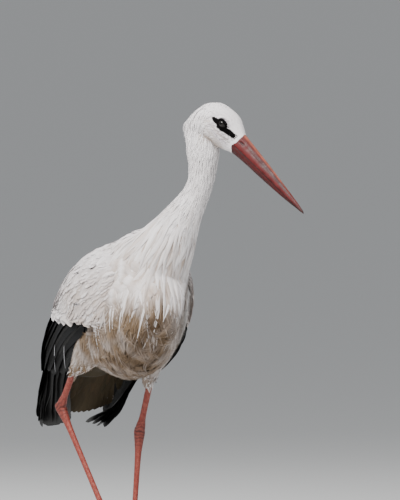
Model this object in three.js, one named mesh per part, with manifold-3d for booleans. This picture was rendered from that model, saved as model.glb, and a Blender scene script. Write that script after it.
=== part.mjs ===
// A life-size white stork in mid-step: it stands on its left foot, the right foot is lifted so that only the
// middle toe still meets the floor, and the head is turned to the bird's left with the bill pointing down.
//
// Millimetres, +Z up. The bird faces -Y and its left side is +X. While it is built, every place is given as
// at(forward, left, up), counted from the floor under the middle of the trunk; the last lines move the whole
// bird so that the origin is on the floor, at the middle of the left foot's sole.
import * as THREE from 'three';
import { mergeVertices } from 'three/addons/utils/BufferGeometryUtils.js';
import Module from 'manifold-3d';

const wasm = await Module();
wasm.setup();

// ---- driving dimensions -------------------------------------------------------------------------------
const GAP = 0.3; // between touching pieces
const BILL_LENGTH = 156; // along the culmen, from the forehead feathers to the tip
const EYE_RADIUS = 7.2;
const HEAD_YAW = 41; // degrees, to the bird's left
const BILL_PITCH = 40.2; // degrees below the horizon
const COVERT_DEPTH = 14;
const VANE_THICKNESS = 1.6;
const RIM_THICKNESS = 0.6;
const CLAW_LENGTH = 12.5;
const CLAW_HOOK = 4.2; // how far a claw's tip bends down
const CUT = { thickness: 0.4, size: 170 }; // the thin slabs that part head, neck and trunk

const at = (forward, left, up) => new THREE.Vector3(left, -forward, up);
const rad = THREE.MathUtils.degToRad;
const lerp = THREE.MathUtils.lerp;

const LEFT_FOOT = at(-5, 8, 5.5);
const RIGHT_FOOT = at(0, -25, 75);
const LEFT_ANKLE = at(-22, 26.5, 213);
const RIGHT_ANKLE = at(-100, -75, 248);
const LEFT_KNEE = at(80, 44, 420);
const RIGHT_KNEE = at(72, -62, 412);
const BILL_BASE = at(231, 110, 651); // middle of the bill where the face feathers end

// ---- curves and solids --------------------------------------------------------------------------------

// The value at t (0 to 1) of a smooth curve through evenly spaced knots, each a list of numbers.
function through(knots, t) {
  const last = knots.length - 1;
  const place = Math.min(Math.max(t, 0), 1) * last;
  const i = Math.min(Math.floor(place), last - 1);
  const f = place - i;
  const [a, b, c, d] = [i - 1, i, i + 1, i + 2].map((k) => knots[Math.min(Math.max(k, 0), last)]);
  return b.map((v, k) => {
    const slopeIn = (c[k] - a[k]) / 2;
    const slopeOut = (d[k] - v) / 2;
    return v + f * slopeIn + f * f * (3 * (c[k] - v) - 2 * slopeIn - slopeOut)
      + f * f * f * (2 * (v - c[k]) + slopeIn + slopeOut);
  });
}

// A point of an oval with its own height above and below its middle; power 2 is an ellipse, more is boxier.
function oval(angle, width, above, below, powerAbove = 2, powerBelow = 2) {
  const power = Math.sin(angle) >= 0 ? powerAbove : powerBelow;
  const bend = (v) => Math.sign(v) * Math.abs(v) ** (2 / power);
  return [width * bend(Math.cos(angle)), (Math.sin(angle) >= 0 ? above : below) * bend(Math.sin(angle))];
}

// A closed mesh over rings of points, with a pole at each end.
function skinOver(rings, startPole, endPole) {
  const sides = rings[0].length;
  const points = [startPole, ...rings.flat(), endPole];
  const end = points.length - 1;
  const index = [];
  for (let s = 0; s < sides; s++) {
    const next = (s + 1) % sides;
    index.push(0, 1 + next, 1 + s);
    for (let r = 0; r < rings.length - 1; r++) {
      const [a, b] = [1 + r * sides + s, 1 + r * sides + next];
      index.push(a, b, b + sides, a, b + sides, a + sides);
    }
    const lastRing = 1 + (rings.length - 1) * sides;
    index.push(lastRing + s, lastRing + next, end);
  }
  return new THREE.BufferGeometry().setFromPoints(points).setIndex(index);
}

// A closed three.js geometry as a solid.
function solidOf(geometry) {
  const bare = geometry.clone();
  bare.deleteAttribute('normal');
  bare.deleteAttribute('uv');
  const merged = mergeVertices(bare, 1e-4);
  const mesh = new wasm.Mesh({
    numProp: 3,
    vertProperties: new Float32Array(merged.attributes.position.array),
    triVerts: new Uint32Array(merged.index.array),
  });
  const solid = new wasm.Manifold(mesh);
  if (solid.volume() > 0) return solid;
  const turned = new Uint32Array(merged.index.array);
  for (let i = 0; i < turned.length; i += 3) [turned[i], turned[i + 1]] = [turned[i + 1], turned[i]];
  return new wasm.Manifold(new wasm.Mesh({
    numProp: 3,
    vertProperties: new Float32Array(merged.attributes.position.array),
    triVerts: turned,
  }));
}

// Ovals carried along a curve. knots: [forward, left, up, half width, above, below]; yaw turns the width
// from the body's own left towards the tail. Both ends are rounded over the given shares of the curve.
function loft({ knots, rings, sides, yaw = () => 0, powers = [2, 2], round = [0.08, 0.08], grow = 0 }) {
  const rounding = (t) => {
    const start = round[0] ? Math.min(t / round[0], 1) : 1;
    const end = round[1] ? Math.min((1 - t) / round[1], 1) : 1;
    return Math.sqrt(1 - (1 - start) ** 2) * Math.sqrt(1 - (1 - end) ** 2);
  };
  const middle = (t) => at(...through(knots, t).slice(0, 3));
  const body = [];
  for (let r = 1; r < rings; r++) {
    const t = (r / rings) * 0.5 + (1 - Math.cos((Math.PI * r) / rings)) * 0.25;
    const [, , , width, above, below] = through(knots, t);
    const centre = middle(t);
    const along = middle(Math.min(t + 0.01, 1)).sub(middle(Math.max(t - 0.01, 0))).normalize();
    const turn = rad(yaw(t));
    const back = along.clone().cross(new THREE.Vector3(Math.cos(turn), Math.sin(turn), 0)).normalize();
    const left = back.clone().cross(along);
    const share = rounding(t);
    const ring = [];
    for (let s = 0; s < sides; s++) {
      const [x, y] = oval((2 * Math.PI * s) / sides, width * share + grow, above * share + grow,
        below * share + grow, ...powers);
      ring.push(centre.clone().addScaledVector(left, x).addScaledVector(back, y));
    }
    body.push(ring);
  }
  const start = middle(0);
  const end = middle(1);
  start.addScaledVector(start.clone().sub(middle(0.02)).normalize(), grow);
  end.addScaledVector(end.clone().sub(middle(0.98)).normalize(), grow);
  return solidOf(skinOver(body, start, end));
}

// A thin closed plate on a curved surface: surface(u, v) is a point, thickness(u, v) falls to nothing at the rim.
function plate({ surface, normal, thickness, steps, across, grow = 0 }) {
  const front = [];
  const rear = [];
  for (let i = 0; i <= steps; i++) {
    for (let j = 0; j <= across; j++) {
      const u = grow ? lerp(-0.004, 1.004, i / steps) : i / steps;
      const v = ((2 * j) / across - 1) * (grow ? 1.01 : 1);
      const rim = i === 0 || i === steps || j === 0 || j === across;
      const lift = (rim ? RIM_THICKNESS : thickness(u, v)) / 2 + grow;
      const middle = surface(u, v);
      const out = normal(u, v);
      front.push(middle.clone().addScaledVector(out, lift));
      rear.push(middle.clone().addScaledVector(out, -lift));
    }
  }
  const row = across + 1;
  const count = front.length;
  const index = [];
  const quad = (a, b, c, d) => index.push(a, b, c, a, c, d);
  for (let i = 0; i < steps; i++) {
    for (let j = 0; j < across; j++) {
      const [a, b, c, d] = [i * row + j, i * row + j + 1, (i + 1) * row + j + 1, (i + 1) * row + j];
      quad(a, b, c, d);
      quad(a + count, d + count, c + count, b + count);
      if (i === 0) quad(a, a + count, b + count, b);
      if (i === steps - 1) quad(d, c, c + count, d + count);
      if (j === 0) quad(a, d, d + count, a + count);
      if (j === across - 1) quad(b, b + count, c + count, c);
    }
  }
  return solidOf(new THREE.BufferGeometry().setFromPoints([...front, ...rear]).setIndex(index));
}

const union = (solids) => solids.reduce((whole, one) => whole.add(one));
const largest = (solid) => solid.decompose().sort((a, b) => b.volume() - a.volume())[0];

// The part of a solid that lies nearest to a point, once thin slabs have parted it.
function pieceAt(pieces, point) {
  const distance = (solid) => {
    const { min, max } = solid.boundingBox();
    return new THREE.Vector3((min[0] + max[0]) / 2, (min[1] + max[1]) / 2, (min[2] + max[2]) / 2).distanceTo(point);
  };
  return [...pieces].sort((a, b) => distance(a) - distance(b))[0];
}

// A thin slab at a place, square to a direction.
function slab(place, direction, size = CUT.size) {
  const geometry = new THREE.BoxGeometry(size, size, CUT.thickness);
  const turn = new THREE.Quaternion().setFromUnitVectors(new THREE.Vector3(0, 0, 1), direction.clone().normalize());
  return solidOf(geometry.applyQuaternion(turn).translate(place.x, place.y, place.z));
}

function ball(centre, radius, wide = 14, high = 8) {
  return solidOf(new THREE.SphereGeometry(radius, wide, high).translate(centre.x, centre.y, centre.z));
}

// Everything above the floor, for flat soles.
const aboveFloor = solidOf(new THREE.BoxGeometry(2000, 2000, 1000).translate(0, 0, 500));

// ---- trunk, neck, head and thighs ---------------------------------------------------------------------

const TRUNK = [ // forward, left, up, half width, above, below
  [-198, 4, 344, 26, 14, 18],
  [-150, 3, 362, 54, 46, 48],
  [-90, 1, 379, 74, 83, 80],
  [-20, -1, 392, 80, 100, 100],
  [50, -1, 401, 79, 107, 108],
  [105, 2, 413, 70, 101, 102],
  [145, 7, 430, 55, 86, 80],
  [174, 11, 446, 36, 60, 52],
];

const NECK = [
  [72, 1, 418, 70, 95, 70],
  [112, 9, 466, 60, 70, 62],
  [141, 27, 505, 44, 28, 50],
  [160, 43.5, 541, 30, 20, 38],
  [174, 56, 566, 22.5, 20, 29],
  [182, 64.5, 589, 20, 19, 25],
  [186, 67.5, 611, 21.5, 20.5, 25],
  [187, 68.5, 634, 24.5, 24, 26.5],
  [187, 70, 658, 25.5, 29, 25.5],
  [190, 72, 686, 24, 32, 24],
];

// The head's ovals are strung behind the bill: distance behind its base, height of their middle, half width,
// above, below. The line sinks at the back, where the head passes into the nape.
const HEAD = [
  [84, -38, 12, 6, 12],
  [77, -27, 20.5, 9, 24],
  [68, -15, 26, 19, 30],
  [55, -4, 27.5, 28.5, 33],
  [40, 0, 27, 30.5, 30],
  [25, 0, 24, 31, 27],
  [12, 0, 19, 26.5, 23.5],
  [2, 0, 15, 21.5, 19.5],
  [-5, 0, 13, 17.5, 17.5],
];

const billAlong = at(Math.cos(rad(HEAD_YAW)), Math.sin(rad(HEAD_YAW)), 0)
  .multiplyScalar(Math.cos(rad(BILL_PITCH)))
  .setZ(-Math.sin(rad(BILL_PITCH)));
const headLeft = new THREE.Vector3(Math.cos(rad(HEAD_YAW)), Math.sin(rad(HEAD_YAW)), 0);
const headUp = billAlong.clone().cross(headLeft);

// A place in the head: ahead of the bill's base along the bill, towards the bird's left, towards the crown.
const inHead = (ahead, left, up) => BILL_BASE.clone()
  .addScaledVector(billAlong, ahead)
  .addScaledVector(headLeft, left)
  .addScaledVector(headUp, up);

// A knot of a curve: a place, followed by the sizes there.
const knot = (p, ...sizes) => [-p.y, p.x, p.z, ...sizes];

const neckYaw = (t) => HEAD_YAW * THREE.MathUtils.smoothstep(t, 0.3, 1);
const makeTrunk = (grow = 0) => loft({ knots: TRUNK, rings: 14, sides: 22, powers: [2.4, 1.7], round: [0.1, 0.1], grow });
const makeNeck = (grow = 0) => loft({ knots: NECK, rings: 13, sides: 16, yaw: neckYaw, round: [0.02, 0.09], grow });
const makeHead = (grow = 0) => loft({
  knots: HEAD.map(([behind, height, ...sizes]) => knot(inHead(-behind, 0, height), ...sizes)),
  rings: 13,
  sides: 18,
  yaw: () => HEAD_YAW,
  round: [0.1, 0.04],
  grow,
});

// The feathered part of a leg, from inside the trunk down to where the bare shin comes out.
const THIGHS = {
  left: [
    [72, 33, 402, 32, 58, 52],
    [50, 34, 355, 26, 46, 44],
    [33, 32, 323, 18, 27, 29],
    [23, 30, 300, 12, 15, 17],
    [16, 28.5, 282, 7.4, 8.4, 8.6],
  ],
  right: [
    [60, -42, 396, 30, 50, 50],
    [26, -48, 360, 27, 42, 42],
    [-6, -57, 332, 20, 28, 30],
    [-28, -65, 314, 13.5, 16, 17],
    [-44, -68.5, 301, 7.4, 8.2, 8.4],
  ],
};
const makeThigh = (side, grow = 0) => loft({ knots: THIGHS[side], rings: 8, sides: 12, round: [0.1, 0.06], grow });

// ---- bill and eyes ------------------------------------------------------------------------------------

// Both halves of the bill: share of its length, half width, height of the culmen, gape and lower edge.
const BILL = [
  [-0.03, 13.2, 19, -1.2, -17.2],
  [0.16, 11, 16.2, -1.2, -14.2],
  [0.35, 8.8, 13.3, -1, -12.4],
  [0.5, 7, 10.6, -1.2, -11],
  [0.64, 5.4, 8, -1.6, -9.3],
  [0.78, 3.9, 5.2, -2, -7],
  [0.9, 2.5, 2.6, -2.3, -4.6],
  [1, 1.1, -0.4, -2.4, -2.9],
];

function makeBillHalf(upper) {
  const knots = BILL.map(([share, width, top, gape, bottom]) => {
    const middle = upper ? gape : gape - GAP;
    const place = inHead(share * BILL_LENGTH, 0, middle);
    return knot(place, width, upper ? top - gape : 0.01, upper ? 0.01 : gape - bottom);
  });
  const reach = upper ? knots : knots.slice(0, -1).concat([knots.at(-1).map((v, i) => lerp(knots.at(-2)[i], v, 0.75))]);
  return loft({ knots: reach, rings: 11, sides: 12, yaw: () => HEAD_YAW, powers: upper ? [1.75, 2] : [2, 1.8], round: [0.02, 0.06] });
}

const EYE_PLACES = { left: inHead(-29.5, 18, 13.6), right: inHead(-29.5, -18, 13.6) };

// Slits for the nostrils, either side of the culmen.
const nostrils = union([-1, 1].map((side) => solidOf(new THREE.SphereGeometry(1, 10, 6)
  .scale(1.6, 5.5, 1.3)
  .applyMatrix4(new THREE.Matrix4().makeBasis(headLeft, billAlong, headUp))
  .translate(...inHead(11, side * 8.6, 9.4).toArray()))));

// ---- folded wings -------------------------------------------------------------------------------------

// The wings lie on a barrel about the trunk: forward, left, height of its middle, half width, above, below.
const BARREL = [
  [140, 5, 428, 61, 74, 78],
  [75, 2, 408, 83, 99, 98],
  [10, 0, 397, 90, 105, 112],
  [-55, 0, 386, 91, 102, 112],
  [-120, 1, 364, 88, 94, 102],
  [-185, 3, 330, 86, 79, 88],
  [-250, 8, 291, 78, 60, 70],
  [-320, 14, 250, 71, 42, 36],
  [-395, 19, 209, 60, 24, 18],
];

// The barrel's sizes at a forward value.
function barrelAt(forward) {
  let low = 0;
  let high = 1;
  for (let i = 0; i < 24; i++) {
    const middle = (low + high) / 2;
    if (through(BARREL, middle)[0] > forward) low = middle;
    else high = middle;
  }
  return through(BARREL, low);
}

// A point of the barrel: forward, degrees from the middle of the back down the side (1 left, -1 right).
function onBarrel(forward, degrees, side, inset = 0) {
  const [, left, height, width, above, below] = barrelAt(forward);
  const [x, y] = oval(rad(90 - degrees), width - inset, above - inset, below - inset, 2.2, 2.2);
  return at(forward, left + side * x, height + y);
}

// The way out of the barrel at a point.
function outOfBarrel(forward, degrees, side) {
  const down = onBarrel(forward, degrees + 2, side).sub(onBarrel(forward, degrees - 2, side));
  const along = onBarrel(forward + 4, degrees, side).sub(onBarrel(forward - 4, degrees, side));
  const out = down.cross(along).normalize();
  return side === 1 ? out : out.negate();
}

// The white part of a wing: a plump shell of coverts and shoulder feathers.
function makeCoverts(side, grow = 0) {
  const edge = [ // forward, upper and lower edge in degrees
    [128, 58, 108],
    [100, 36, 110],
    [55, 20, 105],
    [0, 12, 99],
    [-50, 9, 95],
    [-100, 8, 88],
    [-140, 12, 74],
    [-168, 24, 56],
  ];
  const spot = (u, v) => {
    const [forward, top, bottom] = through(edge, u);
    return [forward, lerp(top, bottom, (v + 1) / 2)];
  };
  return plate({
    surface: (u, v) => onBarrel(...spot(u, v), side, 8),
    normal: (u, v) => outOfBarrel(...spot(u, v), side),
    thickness: (u, v) => COVERT_DEPTH * Math.sqrt(Math.max(1 - v * v, 0.1)) * Math.min(1, 6 * u + 0.4, 4 * (1 - u) + 0.25),
    steps: 9,
    across: 7,
    grow,
  });
}

// Black flight feathers, side by side in two layers: forward and degrees of the first and last root and tip.
// Each tip is a point, as deep as notch beyond the hollow between two feathers.
const FLIGHT = {
  secondaries: { count: 9, root: [[-95, 12], [66, 122]], tip: [[-318, 6], [-110, 139]], bulge: -50, notch: 7, inset: 9.5 },
  primaries: { count: 5, root: [[-190, 56], [-110, 130]], tip: [[-348, 36], [-366, 165]], bulge: -34, notch: 9, inset: 13 },
};

function makeFlight(side, { count, root, tip, bulge, notch, inset }, grow = 0) {
  const spot = (u, v) => {
    const share = (v + 1) / 2;
    const [a, b] = [0, 1].map((k) => lerp(root[0][k], root[1][k], share));
    const [c, d] = [0, 1].map((k) => lerp(tip[0][k], tip[1][k], share));
    const point = (2 * Math.abs(((share * count + 0.5) % 1) - 0.5) - 1) * notch; // 0 at a tip, -notch between tips
    const reach = c + bulge * Math.sin(Math.PI * share) - point - notch;
    return [lerp(a, reach, u), lerp(b, d, u)];
  };
  return plate({
    surface: (u, v) => onBarrel(...spot(u, v), side, inset),
    normal: (u, v) => outOfBarrel(...spot(u, v), side),
    thickness: () => VANE_THICKNESS,
    steps: 5,
    across: 2 * count,
    grow,
  });
}

// ---- tail ---------------------------------------------------------------------------------------------

// A shallow fan under the wing tips, plump at its root where the coverts lie above and below it.
const TAIL = [ // forward, left, up, half width, thickness
  [-150, 3, 345, 34, 34],
  [-185, 4, 326, 40, 34],
  [-225, 6, 301, 43, 24],
  [-265, 8, 275, 45, 14],
  [-305, 10, 250, 46, 8],
  [-345, 12, 226, 44, 4],
];

function makeTail(grow = 0) {
  const spot = (u, v) => {
    const [forward, left, up, half] = through(TAIL, u);
    return at(forward + 30 * v * v * u, left + half * v, up - 5 * v * v + 17 * v * v * u);
  };
  return plate({
    surface: spot,
    normal: () => at(0.55, 0, 0.84),
    thickness: (u, v) => through(TAIL, u)[4] * Math.sqrt(Math.max(1 - v * v, 0.2)),
    steps: 8,
    across: 8,
    grow,
  });
}

// ---- bare legs and feet -------------------------------------------------------------------------------

const along = (a, b, share, ...sizes) => knot(a.clone().lerp(b, share), ...sizes);

// The shin, from inside the thigh feathers to just above the ankle.
const SHIN_START = { left: 0.66, right: 0.66 };
const makeShin = (knee, ankle, start, grow = 0) => loft({
  knots: [along(knee, ankle, start, 4.8, 5.2, 5.2), along(knee, ankle, 0.8, 4.7, 5.2, 5.2),
    along(knee, ankle, 0.9, 5, 6, 5.6), along(knee, ankle, 0.955, 7, 8.6, 7.2), along(knee, ankle, 1.01, 7.2, 8.6, 7.4)],
  rings: 7,
  sides: 10,
  round: [0.02, 0.02],
  grow,
});

// The tarsus, with the ankle's knob above it and the foot's joint below.
const makeTarsus = (ankle, foot, grow = 0) => loft({
  knots: [along(ankle, foot, -0.035, 7.6, 9, 8), along(ankle, foot, 0.01, 8.4, 10.6, 9.4),
    along(ankle, foot, 0.075, 6.6, 8.4, 7.2), along(ankle, foot, 0.17, 4.8, 5.6, 5.4), along(ankle, foot, 0.35, 4.1, 5, 4.8),
    along(ankle, foot, 0.6, 4, 4.9, 4.7), along(ankle, foot, 0.84, 4.4, 5.1, 4.9), along(ankle, foot, 0.97, 7, 6.6, 6.4),
    along(ankle, foot, 1.04, 6.4, 5.6, 5.6)],
  rings: 12,
  sides: 10,
  round: [0.03, 0.04],
  grow,
});

// Toes: direction about the foot in degrees towards the bird's left, length of the fleshy part, half width.
const TOES = {
  inner: { turn: -24, length: 60, half: 4.6 },
  middle: { turn: 0, length: 80, half: 5 },
  outer: { turn: 31, length: 66, half: 4.6 },
  hind: { turn: 196, length: 24, half: 3.9 },
};

// A toe's knuckles along a line from the foot; droop is its slope at the root and at the tip, in degrees.
function toeKnots(foot, side, { turn, length, half }, droop) {
  const heading = rad(side === 'left' ? turn : -turn);
  const knots = [];
  const p = foot.clone();
  const steps = 6;
  for (let i = 0; i <= steps; i++) {
    const share = i / steps;
    const knuckle = 1 + 0.09 * Math.cos(share * Math.PI * 6);
    const size = half * lerp(1.15, 0.74, share) * knuckle;
    knots.push(knot(p, size, size * 0.95, size * 0.95));
    const slope = rad(lerp(droop[0], droop[1], share));
    p.add(at(Math.cos(heading) * Math.cos(slope), Math.sin(heading) * Math.cos(slope), -Math.sin(slope))
      .multiplyScalar(length / steps));
  }
  return knots;
}

function makeClaw(knots, grow = 0) {
  const [tip, before] = [knots.at(-1), knots.at(-2)];
  const ahead = at(tip[0] - before[0], tip[1] - before[1], tip[2] - before[2]).normalize();
  const root = at(tip[0], tip[1], tip[2]).addScaledVector(ahead, -2.5);
  const claw = [0, 0.35, 0.7, 1].map((share) => {
    const p = root.clone().addScaledVector(ahead, CLAW_LENGTH * share).add(at(0, 0, 1 - CLAW_HOOK * share * share));
    return knot(p, lerp(3.1, 0.8, share), lerp(2.5, 0.7, share), lerp(2, 0.6, share));
  });
  return loft({ knots: claw, rings: 5, sides: 6, round: [0.05, 0.3], grow });
}

// How far each foot's toes hang at root and tip: flat on the left, drooping on the right.
const DROOP = {
  left: { inner: [2.8, 1.4], middle: [2.2, 0.9], outer: [2.6, 1.2], hind: [11, 3] },
  right: { inner: [44, 66], middle: [50, 71], outer: [44, 66], hind: [66, 52] },
};

// ---- assembly -----------------------------------------------------------------------------------------

const MATERIALS = {
  plumage: { color: 0xe9e3dd, roughness: 0.85, metalness: 0 },
  dusty: { color: 0x9c8a76, roughness: 0.9, metalness: 0 },
  black: { color: 0x16161a, roughness: 0.5, metalness: 0 },
  bill: { color: 0xa8352b, roughness: 0.45, metalness: 0 },
  leg: { color: 0xb4604f, roughness: 0.6, metalness: 0 },
  claw: { color: 0x2c2422, roughness: 0.5, metalness: 0 },
  eye: { color: 0x0c0a0a, roughness: 0.08, metalness: 0 },
};

const bird = new THREE.Group();

function addPiece(name, solid, material) {
  const { vertProperties, triVerts, numProp } = solid.getMesh();
  const positions = new Float32Array((vertProperties.length / numProp) * 3);
  for (let i = 0; i < positions.length / 3; i++) {
    positions.set(vertProperties.subarray(i * numProp, i * numProp + 3), i * 3);
  }
  const geometry = new THREE.BufferGeometry()
    .setAttribute('position', new THREE.BufferAttribute(positions, 3))
    .setIndex(new THREE.BufferAttribute(new Uint32Array(triVerts), 1));
  geometry.computeVertexNormals();
  const mesh = new THREE.Mesh(geometry, new THREE.MeshStandardMaterial(MATERIALS[material]));
  mesh.name = name;
  bird.add(mesh);
}

const KNEES = { left: LEFT_KNEE, right: RIGHT_KNEE };
const ANKLES = { left: LEFT_ANKLE, right: RIGHT_ANKLE };
const FEET = { left: LEFT_FOOT, right: RIGHT_FOOT };

// The flesh is one form, parted by thin slabs across the neck and the tops of the thighs.
const knotPlace = (knots, t) => at(...through(knots, t).slice(0, 3));
const slabAcross = (knots, t, size) => slab(knotPlace(knots, t), knotPlace(knots, t + 0.02).sub(knotPlace(knots, t - 0.02)), size);
const eyeHollows = union(Object.values(EYE_PLACES).map((p) => ball(p, EYE_RADIUS + GAP)));
const flesh = union([makeTrunk(), makeNeck(), makeHead()])
  .subtract(eyeHollows)
  .subtract(slabAcross(NECK, 0.3, 190))
  .subtract(slabAcross(NECK, 0.5, 90))
  .subtract(slab(at(190, 72, 636), at(-0.12, -0.1, 1), 120));
const fleshGrown = union([makeTrunk(GAP), makeNeck(GAP), makeHead(GAP)]);
const fleshPieces = flesh.decompose();

addPiece('head', pieceAt(fleshPieces, inHead(-40, 0, 0)), 'plumage');
addPiece('neck_upper', pieceAt(fleshPieces, knotPlace(NECK, 0.68)), 'plumage');
addPiece('neck_lower', pieceAt(fleshPieces, knotPlace(NECK, 0.4)), 'plumage');
addPiece('trunk', pieceAt(fleshPieces, at(0, 0, 400)), 'plumage');

const headGrown = makeHead(GAP);
addPiece('bill_upper', largest(makeBillHalf(true).subtract(headGrown).subtract(nostrils)), 'bill');
addPiece('bill_lower', largest(makeBillHalf(false).subtract(headGrown)), 'bill');

let taken = fleshGrown; // everything placed so far, a gap wider, from which each new piece is kept clear
function place(name, make, material) {
  addPiece(name, largest(make(0).subtract(taken)), material);
  taken = taken.add(make(GAP));
}

for (const side of ['left', 'right']) {
  const sign = side === 'left' ? 1 : -1;
  addPiece(`eye_${side}`, ball(EYE_PLACES[side], EYE_RADIUS), 'eye');
  place(`thigh_${side}`, (grow) => makeThigh(side, grow), 'dusty');
  place(`wing_${side}_coverts`, (grow) => makeCoverts(sign, grow), 'plumage');
  place(`wing_${side}_secondaries`, (grow) => makeFlight(sign, FLIGHT.secondaries, grow), 'black');
  place(`wing_${side}_primaries`, (grow) => makeFlight(sign, FLIGHT.primaries, grow), 'black');
}
place('tail', makeTail, 'plumage');

for (const side of ['left', 'right']) {
  let placed = taken;
  const add = (name, make, material) => {
    addPiece(name, largest(make(0).subtract(placed).intersect(aboveFloor)), material);
    placed = placed.add(make(GAP));
  };
  add(`tarsus_${side}`, (grow) => makeTarsus(ANKLES[side], FEET[side], grow), 'leg');
  add(`shin_${side}`, (grow) => makeShin(KNEES[side], ANKLES[side], SHIN_START[side], grow), 'leg');
  for (const [name, toe] of Object.entries(TOES)) {
    const knots = toeKnots(FEET[side], side, toe, DROOP[side][name]);
    add(`toe_${side}_${name}`, (grow) => loft({ knots, rings: 9, sides: 8, round: [0.05, 0.07], grow }), 'leg');
    add(`claw_${side}_${name}`, (grow) => makeClaw(knots, grow), 'claw');
  }
}

bird.position.set(-LEFT_FOOT.x, -LEFT_FOOT.y, 0);

export default bird;
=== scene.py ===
import math
import time

import bpy
import numpy as np
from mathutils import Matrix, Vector
from mathutils.bvhtree import BVHTree


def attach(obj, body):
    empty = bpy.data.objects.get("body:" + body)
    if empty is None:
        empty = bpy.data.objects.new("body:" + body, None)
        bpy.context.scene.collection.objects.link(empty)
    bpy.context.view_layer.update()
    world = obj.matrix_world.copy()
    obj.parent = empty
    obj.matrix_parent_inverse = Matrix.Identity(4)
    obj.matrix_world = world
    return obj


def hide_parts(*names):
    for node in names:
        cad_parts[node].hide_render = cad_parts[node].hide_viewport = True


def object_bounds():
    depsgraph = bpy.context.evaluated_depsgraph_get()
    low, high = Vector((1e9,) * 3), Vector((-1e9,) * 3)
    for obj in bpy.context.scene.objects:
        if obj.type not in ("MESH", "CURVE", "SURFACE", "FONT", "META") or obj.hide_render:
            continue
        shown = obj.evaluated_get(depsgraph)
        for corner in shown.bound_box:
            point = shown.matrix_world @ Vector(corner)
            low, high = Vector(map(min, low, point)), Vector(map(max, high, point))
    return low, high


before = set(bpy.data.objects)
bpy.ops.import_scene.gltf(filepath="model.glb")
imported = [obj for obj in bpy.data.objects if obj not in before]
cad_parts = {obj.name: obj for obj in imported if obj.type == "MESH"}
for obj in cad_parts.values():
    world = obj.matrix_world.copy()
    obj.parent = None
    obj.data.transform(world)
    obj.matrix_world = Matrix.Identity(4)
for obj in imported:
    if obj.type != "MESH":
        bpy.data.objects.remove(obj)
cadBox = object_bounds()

# A white stork in mid-step. Lengths below are in millimetres until a mesh is made. A place is given as
# forward, left, up from the floor under the trunk, and placeAt moves it into the frame of the solids.
startTime = time.time()


# one printed line for each stage, with the seconds since the start
def report(what):
    print("stork:", what, "%.1f s" % (time.time() - startTime), flush=True)


# joints and driving sizes, the same as in the solids; angles are in degrees
leftFoot = (-5.0, 8.0, 5.5)
rightFoot = (0.0, -25.0, 75.0)
leftAnkle = (-22.0, 26.5, 213.0)
rightAnkle = (-100.0, -75.0, 248.0)
leftKnee = (80.0, 44.0, 420.0)
rightKnee = (72.0, -62.0, 412.0)
billBase = (231.0, 110.0, 651.0)
billLength = 156.0
headYaw = 41.0
billPitch = 40.2


# forward, left, up becomes x = left - 8, y = -forward - 5, z = up
def placeAt(p):
    p = np.asarray(p, float)
    return np.stack([p[..., 1] - leftFoot[1], -p[..., 0] + leftFoot[0], p[..., 2]], -1)


# the way back, from the frame to forward, left, up
def backFrom(p):
    return np.stack([-p[..., 1] + leftFoot[0], p[..., 0] + leftFoot[1], p[..., 2]], -1)


# a direction given as forward, left, up, turned into the frame: (l, -f, u)
def wayAt(p):
    p = np.asarray(p, float)
    return np.stack([p[..., 1], -p[..., 0], p[..., 2]], -1)


# v over its own length
def unit(v):
    return v / np.maximum(np.linalg.norm(v, axis=-1, keepdims=True), 1e-9)


# 0 at low, 1 at high, t^2 (3 - 2t) between; low may be the larger one
def smooth(x, low, high):
    t = np.clip((np.asarray(x, float) - low) / (high - low), 0, 1)
    return t * t * (3 - 2 * t)


# a at t = 0, b at t = 1
def mix(a, b, t):
    return a + (b - a) * t


# smooth curve through evenly spaced knots: a cubic between each two, its slopes half the step over a neighbour
def through(knots, t):
    knots = np.asarray(knots, float)
    last = len(knots) - 1
    spot = np.clip(np.asarray(t, float), 0, 1) * last
    i = np.minimum(np.floor(spot).astype(int), last - 1)
    f = (spot - i)[..., None]
    a, b, c, d = [knots[np.clip(i + k, 0, last)] for k in (-1, 0, 1, 2)]
    slopeIn, slopeOut = (c - a) / 2, (d - b) / 2
    square = 3 * (c - b) - 2 * slopeIn - slopeOut
    return b + f * slopeIn + f ** 2 * square + f ** 3 * (2 * (b - c) + slopeIn + slopeOut)


# oval with its own height above and below: width * cos^(2/p), height * sin^(2/p), signs kept
def oval(angle, width, above, below, powerAbove=2.0, powerBelow=2.0):
    c, s = np.cos(angle), np.sin(angle)
    power = np.where(s >= 0, powerAbove, powerBelow)
    x = np.sign(c) * np.abs(c) ** (2 / power)
    y = np.sign(s) * np.abs(s) ** (2 / power)
    return width * x, np.where(s >= 0, above, below) * y


# the head's own axes: along the bill, towards the bird's left, towards the crown
yawAngle, pitchAngle = math.radians(headYaw), math.radians(billPitch)
headLeft = np.array([math.cos(yawAngle), math.sin(yawAngle), 0.0])
levelAhead = np.array([math.sin(yawAngle), -math.cos(yawAngle), 0.0])
billAlong = levelAhead * math.cos(pitchAngle) - np.array([0, 0, math.sin(pitchAngle)])
headUp = np.cross(billAlong, headLeft)
headAxes = np.stack([billAlong, headLeft, headUp])
straightDown = np.array([0, 0, -1.0])


# a place given as ahead of the bill's base, towards the bird's left, towards the crown: base + p . axes
def inHead(p):
    return placeAt(billBase) + np.asarray(p, float) @ headAxes


# the way back, from the frame to the head's own axes
def toHead(p):
    return (p - placeAt(billBase)) @ headAxes.T


# a form: knots of middle and half width, height above and below, strung on a smooth curve; yaw turns its rings
def form(knots, yaw=None, powers=(2.0, 2.0), rounded=(0.08, 0.08), inFrame=False):
    knots = np.asarray(knots, float)
    middles = knots[:, :3] if inFrame else placeAt(knots[:, :3])
    return {"knots": np.hstack([middles, knots[:, 3:]]), "yaw": yaw, "powers": powers, "rounded": rounded}


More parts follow.
